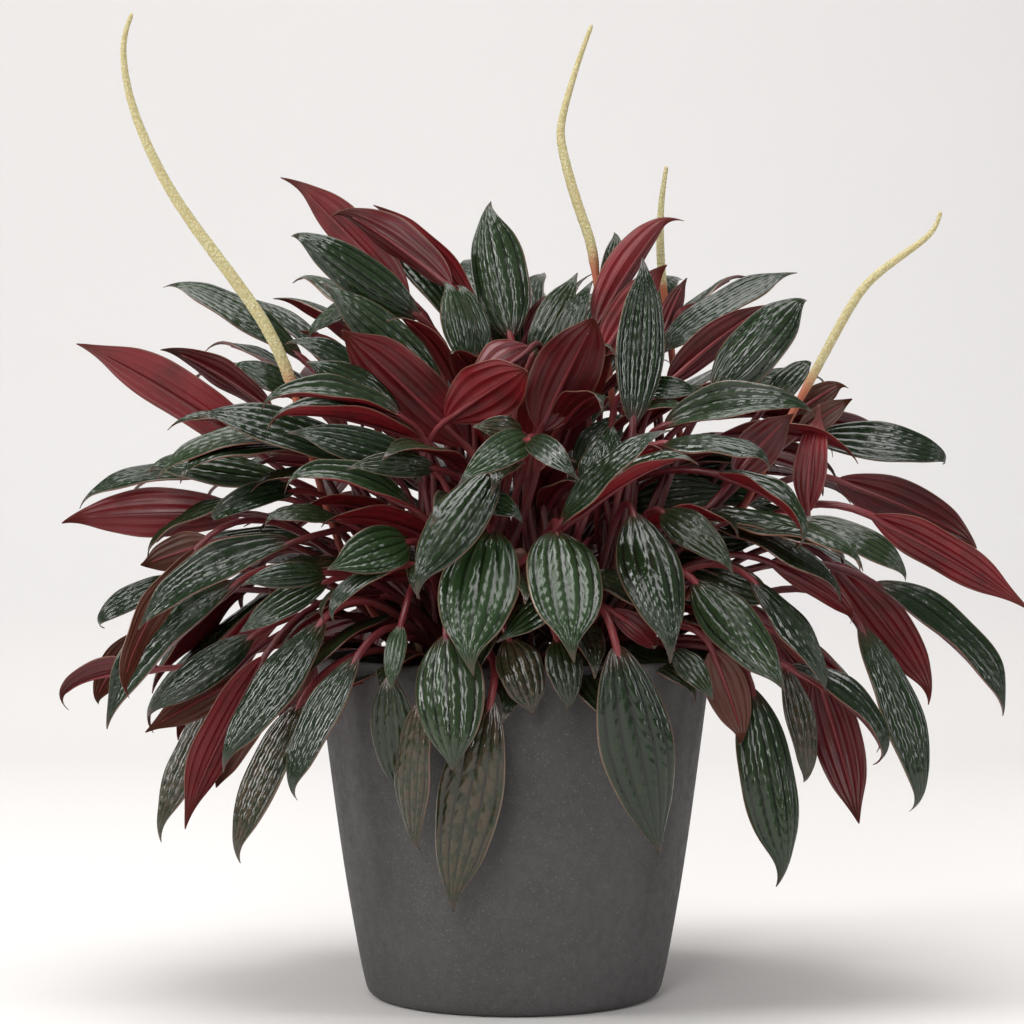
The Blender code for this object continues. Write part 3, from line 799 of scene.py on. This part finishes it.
def sheet_faces(rows, cols):
    """Upper side, lower side and rim of a thin sheet of points."""
    grid = np.arange(rows * cols).reshape(rows, cols)
    corners = (grid[:-1, :-1], grid[:-1, 1:], grid[1:, 1:], grid[1:, :-1])
    upper = np.stack(corners, axis=-1).reshape(-1, 4)
    count = rows * cols
    rim = np.concatenate((grid[0, :], grid[1:, -1], grid[-1, -2::-1], grid[-2:0:-1, 0]))
    after = np.roll(rim, -1)
    edge = np.stack((after, rim, rim + count, after + count), axis=-1)
    return upper, upper[:, ::-1] + count, edge


def stalk_and_rib(stalk, spine, spine_t, lifted, height, side, stalk_radius):
    """Round stalk that runs on as the midrib, half sunk in the blade's underside."""
    sink = smooth_step(spine_t, 0.0, 0.10)
    rib = RIB_END + (stalk_radius - RIB_END) * (1 - spine_t / RIB_SHARE) ** 1.2
    drop = sink * (rib * 0.55 + 0.30) - height / MM * sink
    path = np.vstack((stalk, spine - lifted * (drop * MM)[:, None]))
    flare = stalk_radius + 0.25 * np.linspace(1, 0, len(stalk)) ** 2
    radii = (np.concatenate((flare, rib)) * MM)[:, None, None]
    slopes = directions(path)
    first = carry(side, slopes[::-1])[::-1]
    second = np.cross(first, slopes)
    ang = np.linspace(0, 2 * math.pi, STALK_SIDES, endpoint=False)[None, :, None]
    points = (path[:, None] + first[:, None] * np.cos(ang) * radii
              + second[:, None] * np.sin(ang) * radii)
    rings = np.arange(len(path) * STALK_SIDES).reshape(len(path), STALK_SIDES)
    after = np.roll(rings, -1, axis=1)
    faces = np.stack((rings[:-1], rings[1:], after[1:], after[:-1]), axis=-1).reshape(-1, 4)
    return points, faces, rings


def leaf_mesh(name, placing, style, fineness, seed, surfaces, stalk_radius):
    """One leaf: puckered blade with its red underside, midrib and stalk."""
    shape, start, heading, sway = placing
    age, cup = STYLES[style]
    rng = np.random.default_rng(seed)
    stations, columns = fineness
    across, midrib, stalk_curve = leaf_curves(
        shape, start - heading * STALK_DEPTH * MM, heading, sway)
    t = np.linspace(0.0, 1.0, stations + 1)
    t = t - 0.06 * np.sin(2 * math.pi * t) / (2 * math.pi)
    mid, slope = bezier(midrib, t)
    stalk = bezier(stalk_curve, np.linspace(0.0, 1.0, STALK_STATIONS + 1)[:-1])[0]
    side = carry(across, slope)
    lifted = np.cross(side, slope)
    curl = rng.uniform(0.2, 1.6) * TIP_CURL
    drift = rng.uniform(-0.6, 0.6)
    late = np.clip((t - 0.82) / 0.18, 0.0, 1.0)[:, None] ** 2
    mid = mid - lifted * curl * late + side * curl * drift * late

    wave = rng.uniform(0, 2 * math.pi)
    half = shape[3] * 0.5 * half_width(np.clip(t, 1e-6, 1 - 1e-6))
    half = half * (1.0 + 0.03 * np.sin(9 * t + wave))
    half = 0.94 * half * (1.0 - 0.38 * smooth_step(t, 0.70, 0.97)) + LEAST_HALF_WIDTH
    u, ridge, shift = blade_columns(columns, rng)
    raised = ridge * (smooth_step(t, 0.0, 0.10) * smooth_step(1 - t, 0.0, 0.12))[:, None]
    length = np.linalg.norm(shape[1] - shape[0])
    rise, thick, phase = blade_relief(
        t[:, None], u, raised, shift, half[:, None], length, cup, wave, rng)
    centre = mid[:, None] + side[:, None] * (half[:, None] * u)[:, :, None]
    top = centre + lifted[:, None] * (rise + thick * 0.5)[:, :, None]
    low = centre + lifted[:, None] * (rise - thick * 0.5)[:, :, None]
    spine = t <= RIB_SHARE
    tubes, tube_faces, rings = stalk_and_rib(
        stalk, mid[spine], t[spine], lifted[spine], rise[spine][:, columns // 2],
        side[0], stalk_radius)

    count = top.shape[0] * top.shape[1]
    parts = [*sheet_faces(*top.shape[:2]), tube_faces + 2 * count]
    faces = np.vstack(parts).tolist()
    faces += [(rings[0] + 2 * count).tolist(), (rings[-1][::-1] + 2 * count).tolist()]
    slots = np.repeat((0, 1, 1, 2), [len(p) for p in parts]).tolist() + [2, 2]
    points = np.vstack([p.reshape(-1, 3) for p in (top, low, tubes)])
    run = np.concatenate((np.linspace(-1, 0, len(stalk)), t[spine]))
    values = {
        "across": (u, 0.0),
        "along": (t[:, None], run[:, None]),
        "ridge": (raised, 0.0),
        "ripple": (phase, 20 * run[:, None]),
        "age": (age, age),
        "shade": (rng.random(), rng.random()),
    }
    mesh = bpy.data.meshes.new(name)
    mesh.from_pydata(points.tolist(), [], faces)
    for surface in surfaces:
        mesh.materials.append(surface)
    mesh.polygons.foreach_set("material_index", slots)
    mesh.polygons.foreach_set("use_smooth", [True] * len(faces))
    for key, (on_blade, on_stalk) in values.items():
        flat = np.broadcast_to(on_blade, top.shape[:2]).reshape(-1)
        end = np.broadcast_to(on_stalk, tubes.shape[:2]).reshape(-1)
        layer = mesh.attributes.new(key, "FLOAT", "POINT")
        layer.data.foreach_set("value", np.concatenate((flat, flat, end)).astype(np.float32))
    return joined_in(mesh)


def joined_in(mesh):
    """The mesh as a piece of the scene."""
    mesh.validate()
    thing = bpy.data.objects.new(mesh.name, mesh)
    bpy.context.scene.collection.objects.link(thing)
    return thing


# Materials.


class Shader:
    """Short way to wire up a node material."""

    def __init__(self, name):
        self.material = bpy.data.materials.new(name)
        self.material.use_nodes = True
        self.tree = self.material.node_tree
        self.out = self.tree.nodes["Principled BSDF"]

    def node(self, kind, **settings):
        made = self.tree.nodes.new(kind)
        for key, value in settings.items():
            setattr(made, key, value)
        return made

    def link(self, source, target):
        self.tree.links.new(source, target)

    def put(self, target, value):
        if isinstance(value, bpy.types.NodeSocket):
            self.link(value, target)
        elif isinstance(value, tuple):
            target.default_value = (*value, 1.0)
        else:
            target.default_value = value

    def fill(self, made, **inputs):
        """Sets or wires up the inputs, and gives the outputs."""
        for key, value in inputs.items():
            self.put(made.inputs[key.replace("_", " ")], value)
        return made.outputs

    def value(self, name):
        return self.node("ShaderNodeAttribute", attribute_name=name).outputs["Fac"]

    def position(self):
        return self.node("ShaderNodeTexCoord").outputs["Object"]

    def math(self, operation, one, two=0.0):
        made = self.node("ShaderNodeMath", operation=operation)
        self.put(made.inputs[0], one)
        self.put(made.inputs[1], two)
        return made.outputs[0]

    def times(self, one, two):
        return self.math("MULTIPLY", one, two)

    def blend(self, one, share_one, two, share_two):
        """Weighted sum of two values."""
        return self.math("ADD", self.times(one, share_one), self.times(two, share_two))

    def ramp(self, value, low, high, first=0.0, last=1.0):
        made = self.node("ShaderNodeMapRange", interpolation_type="SMOOTHSTEP")
        return self.fill(made, Value=value, From_Min=low, From_Max=high, To_Min=first,
                         To_Max=last)["Result"]

    def mix(self, share, one, two):
        made = self.node("ShaderNodeMix", data_type="RGBA")
        self.put(made.inputs["Factor"], share)
        self.put(made.inputs[6], one)
        self.put(made.inputs[7], two)
        return made.outputs[2]

    def noise(self, scale, detail=4.0, rough=0.5, vector=None):
        made = self.node("ShaderNodeTexNoise")
        return self.fill(made, Scale=scale, Detail=detail, Roughness=rough,
                         Vector=vector or self.position())["Fac"]

    def bump(self, height, strength, distance, **normal):
        made = self.node("ShaderNodeBump")
        return self.fill(made, Strength=strength, Distance=distance, Height=height,
                         **normal)["Normal"]

    def finish(self, colour, roughness, **fixed):
        self.fill(self.out, Base_Color=colour, Roughness=roughness, **fixed)
        return self.material


def leaf_top():
    """Glossy dark green ridges, grooves darkened to near black as painted shade, and a pale rim."""
    s = Shader("leaf_upper_side")
    ridge = s.value("ridge")
    age = s.value("age")
    shade = s.value("shade")
    across = s.value("across")
    along = s.value("along")
    patch = s.noise(90.0, 5.0, 0.6)
    lengthwise = s.node("ShaderNodeCombineXYZ")
    for i, (value, factor) in enumerate(((across, 3.0), (along, 17.0), (shade, 40.0))):
        s.link(s.times(value, factor), lengthwise.inputs[i])
    streak = s.noise(1.0, 3.0, 0.55, lengthwise.outputs[0])
    fine = s.noise(1500.0, 3.0, 0.6)
    green = s.mix(s.ramp(shade, 0.0, 1.0), (0.009, 0.021, 0.007), (0.019, 0.037, 0.013))
    # Near-black colour in the grooves is painted shade; the ridges keep the leaf's own green.
    lit = s.mix(s.ramp(ridge, 0.0, 0.55), (0.0018, 0.0030, 0.0013), green)
    lit = s.mix(s.ramp(patch, 0.50, 0.80, 0.0, 0.45), lit, (0.029, 0.043, 0.018))
    # Light green leaves: their grooves are darkened too, as painted shade.
    pale = s.mix(s.ramp(ridge, 0.0, 0.9), (0.007, 0.018, 0.005), (0.020, 0.044, 0.015))
    lit = s.mix(s.ramp(age, 0.0, -1.0), lit, pale)
    # Bronze leaves: near-black grooves, painted shade as well.
    brown = s.mix(s.ramp(ridge, 0.0, 0.7), (0.009, 0.006, 0.003), (0.052, 0.039, 0.021))
    brown = s.mix(s.ramp(streak, 0.42, 0.62, 0.0, 0.9), brown, (0.016, 0.024, 0.009))
    lit = s.mix(s.ramp(age, 0.0, 1.0), lit, brown)
    foot = s.times(s.ramp(along, 0.16, 0.0), 0.5)
    lit = s.mix(foot, lit, (0.070, 0.018, 0.014))
    tip = s.times(s.ramp(along, 0.88, 1.0), 0.5)
    lit = s.mix(tip, lit, (0.085, 0.045, 0.028))
    rim = s.times(s.ramp(s.math("ABSOLUTE", across), 0.94, 1.0), 0.65)
    lit = s.mix(rim, lit, (0.26, 0.185, 0.125))
    beat = s.math("SINE", s.times(s.value("ripple"), 2 * math.pi))
    cross = s.times(s.times(beat, ridge), patch)
    rough = s.math("ADD", s.ramp(patch, 0.36, 0.66, 0.08, 0.26), s.times(fine, 0.08))
    normal = s.bump(s.blend(cross, 0.42, streak, 0.55), 0.6, 0.0005)
    normal = s.bump(fine, 0.35, 0.00006, Normal=normal)
    return s.finish(lit, rough, Normal=normal, Specular_IOR_Level=0.52)


def leaf_under():
    """Wine red underside, duller, with brighter veins and a brownish tip."""
    s = Shader("leaf_underside")
    patch = s.noise(60.0, 5.0, 0.6)
    fine = s.noise(1200.0, 3.0, 0.6)
    red = s.mix(s.ramp(s.value("shade"), 0.0, 1.0),
                (0.085, 0.0036, 0.0070), (0.195, 0.0090, 0.0140))
    # Dark patches at random places: partly the leaf's own uneven tone, partly painted shade.
    red = s.mix(s.ramp(patch, 0.40, 0.75, 0.0, 0.8), red, (0.045, 0.006, 0.006))
    vein = s.ramp(s.value("ridge"), 0.30, 0.0)
    red = s.mix(s.times(vein, 0.30), red, (0.25, 0.030, 0.035))
    brown = s.mix(patch, (0.060, 0.020, 0.010), (0.110, 0.040, 0.020))
    red = s.mix(s.ramp(s.value("age"), 0.1, 1.0, 0.0, 0.8), red, brown)
    tip = s.times(s.ramp(s.value("along"), 0.70, 1.0), 0.6)
    red = s.mix(tip, red, (0.075, 0.026, 0.014))
    rim = s.times(s.ramp(s.math("ABSOLUTE", s.value("across")), 0.92, 1.0), 0.6)
    red = s.mix(rim, red, (0.20, 0.10, 0.065))
    normal = s.bump(s.blend(vein, 0.7, patch, 0.3), 0.4, 0.0003)
    normal = s.bump(fine, 0.2, 0.00005, Normal=normal)
    rough = s.ramp(patch, 0.3, 0.7, 0.30, 0.46)
    return s.finish(red, rough, Normal=normal, Specular_IOR_Level=0.42)


def leaf_stalk():
    """Pinkish red stalk, darkened towards the soil as painted shade deep in the plant, that ends as
    a wine red midrib.
    """
    s = Shader("leaf_stalk")
    patch = s.noise(90.0, 4.0, 0.6)
    along = s.value("along")
    red = s.mix(s.ramp(s.value("shade"), 0.1, 0.9), (0.10, 0.011, 0.016), (0.20, 0.030, 0.036))
    red = s.mix(s.ramp(patch, 0.4, 0.8, 0.0, 0.5), red, (0.13, 0.030, 0.022))
    # Painted shade: the stalk goes darker towards the soil, deep inside the foliage.
    red = s.mix(s.ramp(along, -0.20, -0.75, 0.0, 0.85), red, (0.050, 0.012, 0.009))
    red = s.mix(s.ramp(along, 0.0, 0.7, 0.0, 0.85), red, (0.15, 0.010, 0.014))
    normal = s.bump(s.noise(500.0, 3.0), 0.25, 0.0002)
    return s.finish(red, 0.36, Normal=normal, Specular_IOR_Level=0.45,
                    Subsurface_Weight=0.12, Subsurface_Scale=0.003)


def spike_surface():
    """Cream beads on the spike, reddish on its smooth stalk."""
    s = Shader("flower_spike")
    along = s.value("along")
    beads = s.node("ShaderNodeTexVoronoi")
    beads.inputs["Scale"].default_value = 1150.0
    s.link(s.position(), beads.inputs["Vector"])
    away = beads.outputs["Distance"]
    # Darker yellow in the gaps between the beads: partly their own colour, partly painted shade in
    # the recesses.
    pale = s.mix(s.ramp(away, 0.1, 0.7), (0.66, 0.61, 0.38), (0.45, 0.40, 0.19))
    patch = s.ramp(s.noise(120.0, 3.0), 0.35, 0.75, 0.0, 0.5)
    pale = s.mix(patch, pale, (0.50, 0.41, 0.21))
    pale = s.mix(s.ramp(along, 0.15, 0.0), pale, (0.44, 0.13, 0.065))
    pale = s.mix(s.ramp(along, 0.0, -0.4), pale, (0.26, 0.055, 0.040))
    height = s.times(s.math("SUBTRACT", 1.0, away), s.ramp(along, 0.02, 0.08))
    normal = s.bump(height, 0.7, 0.0004)
    return s.finish(pale, 0.55, Normal=normal, Specular_IOR_Level=0.35,
                    Subsurface_Weight=0.15, Subsurface_Scale=0.002)


def pot_surface():
    """Dull dark grey stoneware with pale and dark grains."""
    s = Shader("pot_stoneware_grey")
    cloud = s.noise(14.0, 6.0, 0.6)
    grain = s.noise(1300.0, 3.0, 0.7)
    mid = s.noise(260.0, 5.0, 0.65)
    grey = s.mix(s.ramp(cloud, 0.3, 0.7), (0.058, 0.0555, 0.056), (0.080, 0.0762, 0.0775))
    grey = s.mix(s.ramp(mid, 0.35, 0.75, 0.0, 0.45), grey, (0.060, 0.055, 0.055))
    grey = s.mix(s.ramp(grain, 0.56, 0.75, 0.0, 0.55), grey, (0.22, 0.21, 0.205))
    grey = s.mix(s.ramp(grain, 0.40, 0.25, 0.0, 0.5), grey, (0.030, 0.028, 0.028))
    normal = s.bump(s.blend(grain, 0.4, mid, 0.6), 0.35, 0.0003)
    rough = s.ramp(mid, 0.3, 0.7, 0.60, 0.78)
    return s.finish(grey, rough, Normal=normal, Specular_IOR_Level=0.35)


def soil_surface():
    """Nearly black moist peat with brown bits."""
    s = Shader("potting_soil_dark")
    lumps = s.noise(180.0, 8.0, 0.7)
    bits = s.noise(700.0, 4.0, 0.7)
    brown = s.mix(s.ramp(lumps, 0.3, 0.7), (0.012, 0.008, 0.005), (0.050, 0.032, 0.020))
    brown = s.mix(s.ramp(bits, 0.66, 0.78), brown, (0.12, 0.085, 0.05))
    normal = s.bump(lumps, 0.8, 0.0015)
    normal = s.bump(bits, 0.6, 0.0005, Normal=normal)
    return s.finish(brown, 0.92, Normal=normal, Specular_IOR_Level=0.25)


def crown_surface():
    """Stems between red and olive."""
    s = Shader("stem_red_green")
    patch = s.noise(110.0, 5.0, 0.65)
    colour = s.mix(s.ramp(patch, 0.35, 0.7), (0.16, 0.045, 0.030), (0.15, 0.095, 0.045))
    normal = s.bump(patch, 0.5, 0.0008)
    return s.finish(colour, 0.5, Normal=normal, Specular_IOR_Level=0.4)


def backdrop_surface():
    """Matt off-white, a little paler on the table than on the wall."""
    s = Shader("backdrop_white")
    cloud = s.ramp(s.noise(1.6, 3.0), 0.3, 0.7, 0.0, 0.35)
    pale = s.mix(cloud, (0.70, 0.69, 0.69), (0.67, 0.66, 0.66))
    height = s.node("ShaderNodeSeparateXYZ")
    s.link(s.position(), height.inputs[0])
    pale = s.mix(s.ramp(height.outputs[2], 0.10, 0.0), pale, (0.77, 0.755, 0.745))
    return s.finish(pale, 0.85, Specular_IOR_Level=0.2)


# The pieces.


def settle(thing, nodes=()):
    """Rides on the only body, and stands for the nodes it replaces."""
    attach(thing, "root")
    if nodes:
        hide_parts(*nodes)


def simple_mesh(name, verts, faces, surface, smooth=True):
    mesh = bpy.data.meshes.new(name)
    mesh.from_pydata([tuple(v) for v in verts], [], [tuple(f) for f in faces])
    mesh.materials.append(surface)
    mesh.polygons.foreach_set("use_smooth", [smooth] * len(mesh.polygons))
    return joined_in(mesh)


def round_outline(outline):
    """Outline with its corners cut finer, the flat foot and the ends kept."""
    points = [np.array(p, float) for p in outline]
    finer = points[:2]
    for a, b in zip(points[1:-2], points[2:-1]):
        finer += [a * 0.75 + b * 0.25, a * 0.25 + b * 0.75]
    return [tuple(p) for p in finer + points[-2:]]


def build_pot(surface):
    verts, faces = lathe(round_outline(pot_outline()), 180)
    settle(simple_mesh("pot_body", verts, faces, surface), ["pot"])


def soil_level(r):
    """Height of the soil in mm, lower towards the pot's wall."""
    return SOIL_TOP - 2.4 * (r / SOIL_RADIUS) ** 2


def build_soil(surface):
    """Uneven soil surface that goes down inside the pot's wall."""
    rng = np.random.default_rng(11)
    rings, sides = 46, 140
    phases = rng.uniform(0, 2 * math.pi, (24, 2))
    waves = rng.normal(0, 1, (24, 2)) * np.linspace(0.05, 0.9, 24)[:, None]
    bearings = [2 * math.pi * k / sides for k in range(sides)]
    verts = []
    for i in range(rings + 1):
        r = SOIL_RADIUS * i / rings
        for a in bearings:
            x, y, z = turned(r, a, soil_level(r))
            bumps = np.sin(waves[:, 0] * x + phases[:, 0]) * np.cos(waves[:, 1] * y + phases[:, 1])
            verts.append((x * MM, y * MM, (z + 0.16 * bumps.sum()) * MM))
    verts += [turned(SOIL_RADIUS * 0.985, a, SOIL_TOP - 9.0) * MM for a in bearings]
    faces = []
    for i in range(rings + 1):
        for k in range(sides):
            a, b = i * sides + k, i * sides + (k + 1) % sides
            faces.append((a, a + sides, b + sides, b))
    base = (rings + 1) * sides
    faces.append(range(base + sides - 1, base - 1, -1))
    faces.append(range(sides))
    ground = simple_mesh("soil_surface", verts, faces, surface)
    settle(ground, ["potting_soil"])
    crumbs = simple_mesh("soil_crumbs", *soil_crumbs(rng), surface, smooth=False)
    settle(crumbs)


def soil_crumbs(rng):
    """Small uneven lumps: eight-sided, each side split in four."""
    corners = ((1, 0, 0), (-1, 0, 0), (0, 1, 0), (0, -1, 0), (0, 0, 1), (0, 0, -1))
    eight = ((0, 2, 4), (2, 1, 4), (1, 3, 4), (3, 0, 4), (2, 0, 5), (1, 2, 5), (3, 1, 5), (0, 3, 5))
    verts, faces = [], []
    for i in range(420):
        r = SOIL_RADIUS * 0.97 * math.sqrt(rng.random())
        at = turned(r, rng.uniform(0, 2 * math.pi), soil_level(r) + 0.2)
        size = rng.uniform(0.5, 1.9)
        stretch = rng.uniform(0.5, 1.3, 3)
        turn = rng.uniform(0, math.pi)
        known = {}
        for face in eight:
            middles = [tuple(sorted((face[p], face[q]))) for p, q in ((0, 1), (1, 2), (2, 0))]
            for key in [(k,) for k in face] + middles:
                if key not in known:
                    point = np.add.reduce([corners[k] for k in key]) / math.sqrt(len(key))
                    x, y, z = point * stretch * size * rng.uniform(0.75, 1.1)
                    known[key] = len(verts)
                    verts.append((at + (x * math.cos(turn) - y * math.sin(turn),
                                        x * math.sin(turn) + y * math.cos(turn), z)) * MM)
            a, b, c = (known[(k,)] for k in face)
            ab, bc, ca = (known[k] for k in middles)
            faces += [(a, ab, ca), (ab, b, bc), (ca, bc, c), (ab, bc, ca)]
    return verts, faces


def build_crowns(surface):
    """Stems with rings of old scars."""
    rng = np.random.default_rng(5)
    for name, x, y, top in CROWNS:
        low = SOIL_TOP - 4.0
        outline = [(0, low)]
        for i in range(47):
            t = i / 46
            z = low + (top - low) * t
            scar = 0.28 * math.sin(z * 1.9) + 0.15 * math.sin(z * 4.3)
            r = (CROWN_RADIUS + scar) * math.sqrt(max(0.0, 1 - max(0.0, (t - 0.82) / 0.18) ** 2))
            outline.append((max(r, 0.05), z))
        verts, faces = lathe(outline + [(0, top)], 28)
        shake = rng.normal(0, 0.12 * MM, (len(verts), 3))
        verts = [(v[0] + e[0], v[1] + e[1], v[2]) for v, e in zip(moved(verts, x, y), shake)]
        stem = simple_mesh(name + "_stem", verts, faces, surface)
        settle(stem, [name])


def smooth_path(points, steps):
    """Smooth curve past the points, as a chain of cubic pieces."""
    ends = (2 * points[0] - points[1], 2 * points[-1] - points[-2])
    padded = np.vstack((ends[0], points, ends[1]))
    path = []
    for k in np.linspace(0, len(points) - 1, steps):
        i = min(int(k), len(points) - 2)
        f = k - i
        g = 1 - f
        weights = (g**3, 3 * f**3 - 6 * f * f + 4, 3 * g**3 - 6 * g * g + 4, f**3)
        path.append(sum(w * p for w, p in zip(weights, padded[i:i + 4])) / 6)
    return np.array(path)


def build_spike(row, placing, surface):
    """Spike with its tiny flowers in spirals, on a smooth stalk."""
    upper, bend = spike_curves(row, *placing, 2.0)
    low = bezier(bend, np.linspace(0, 1, 30)[:-1])[0]
    fine = smooth_path(upper, 230)
    path = np.vstack((low, fine))
    run = np.concatenate((np.arange(len(low)) / len(low) - 1.0, np.linspace(0, 1, len(fine))))
    slopes = directions(path)
    sides = carry(np.array((1.0, 0.0, 0.0)), slopes)
    others = np.cross(slopes, sides)
    around = 22
    ang = np.linspace(0, 2 * math.pi, around, endpoint=False)
    verts = []
    for i, (point, t) in enumerate(zip(path, run)):
        radius = np.full(around, SPIKE_STALK_RADIUS)
        if i >= len(low):
            swell = min(1.0, t / 0.06)
            bead = np.sin(ang * 7 + i * 1.35) * np.sin(ang * 4 - i * 0.9)
            radius = spike_radius(t, row[3], swell) * (1 + 0.06 * swell * bead)
        if t > 0.985:
            radius = radius * math.sqrt(max(0.02, 1 - ((t - 0.985) / 0.015) ** 2))
        verts += (point + sides[i] * (np.cos(ang) * radius * MM)[:, None]
                  + others[i] * (np.sin(ang) * radius * MM)[:, None]).tolist()
    faces = []
    for i in range(len(path) - 1):
        for k in range(around):
            a, b = i * around + k, i * around + (k + 1) % around
            faces.append((a, b, b + around, a + around))
    faces.append(range(around - 1, -1, -1))
    faces.append(range(len(verts) - around, len(verts)))
    name = row[0]
    spike = simple_mesh(name.replace("flower_spike", "spike"), verts, faces, surface)
    settle(spike, [name])
    layer = spike.data.attributes.new("along", "FLOAT", "POINT")
    layer.data.foreach_set("value", np.repeat(run, around).astype(np.float32))


def build_leaves(placed, load, leaves):
    """A leaf for each solid one, then all the leaves that have no solid."""
    skins = (leaf_top(), leaf_under(), leaf_stalk())
    sights = []
    for i, found in enumerate(leaves):
        node = "leaf_%02d" % (i + 1)
        style = FAR_STYLES[i % 3]
        if i < len(PHOTO_LEAVES):
            style = SOLID_STYLES.get(i + 1, "plain")
            sights += seen_points(found)
        piece = leaf_mesh(node + "_blade", found, style, FINE, 100 + i, skins, SOLID_STALK)
        settle(piece, [node])
    groups = (
        ("side_leaf", MORE_LEAVES, photo_leaf, MORE_MOVES, MIDDLING),
        ("back_leaf", ring_rows(BACK_RINGS, 21, 1.0), back_leaf, RING_MOVES, PLAIN),
        ("inner_leaf", ring_rows(INNER_RINGS, 22, 0.7), back_leaf, INNER_MOVES, COARSE),
    )
    for title, rows, maker, moves, fineness in groups:
        inner = title == "inner_leaf"
        for i, row in enumerate(rows):
            found, hits = place_extra(row, maker, moves, load, placed, sights if inner else None)
            if title == "side_leaf":
                sights += seen_points(found)
            if inner and hits > 1:
                continue
            seed = 1000 + 300 * len(title) + i
            name = "%s_%02d" % (title, i + 1)
            piece = leaf_mesh(name, found, row[6], fineness, seed, skins, EXTRA_STALK)
            settle(piece)


def build_plant():
    placed, load, spikes, leaves = place_solids()
    spike_skin = spike_surface()
    for row, placing in zip(SPIKES, spikes):
        build_spike(row, placing, spike_skin)
    build_leaves(placed, load, leaves)


def build_backdrop():
    """Plain pale table and wall in one sweep."""
    reach, bend, foot_y, top = 3.0, 0.6, 0.9, 3.0
    profile = [(-reach, 0.0)]
    for i in range(13):
        a = math.pi / 2 * i / 12
        profile.append((foot_y + bend * math.sin(a), bend * (1 - math.cos(a))))
    profile.append((foot_y + bend, top))
    verts = [(x, y, z) for y, z in profile for x in (-reach, reach)]
    faces = [(i, i + 1, i + 3, i + 2) for i in range(0, len(verts) - 2, 2)]
    simple_mesh("floor", verts, faces, backdrop_surface())


def point_at(thing, place, aim):
    """Puts a lamp or the camera at its place, facing its aim."""
    thing.location = place
    thing.rotation_euler = (Vector(aim) - Vector(place)).to_track_quat("-Z", "Y").to_euler()
    bpy.context.scene.collection.objects.link(thing)


def build_light():
    """Soft daylight, with lamps like windows and soft boxes round the plant."""
    world = bpy.data.worlds.new("soft_day")
    bpy.context.scene.world = world
    world.use_nodes = True
    sky = world.node_tree.nodes["Background"]
    sky.inputs["Color"].default_value = (1.0, 0.99, 0.97, 1.0)
    sky.inputs["Strength"].default_value = 0.20
    for name, place, aim, wide, tall, power, colour in LAMPS:
        lamp = bpy.data.lights.new(name, "AREA")
        lamp.shape = "RECTANGLE"
        lamp.size = wide
        lamp.size_y = tall
        lamp.energy = power
        lamp.color = colour
        point_at(bpy.data.objects.new(name, lamp), place, aim)


def build_camera():
    """The photo's own view."""
    lens = bpy.data.cameras.new("camera")
    lens.sensor_width = 36.0
    lens.lens = 106.2
    lens.clip_start = 0.05
    camera = bpy.data.objects.new("camera", lens)
    point_at(camera, EYE, (EYE[0], 0.0, 0.1706))
    bpy.context.scene.camera = camera
    bpy.context.scene.view_settings.view_transform = "Standard"


build_pot(pot_surface())
build_soil(soil_surface())
build_crowns(crown_surface())
build_plant()
build_backdrop()
build_light()
build_camera()
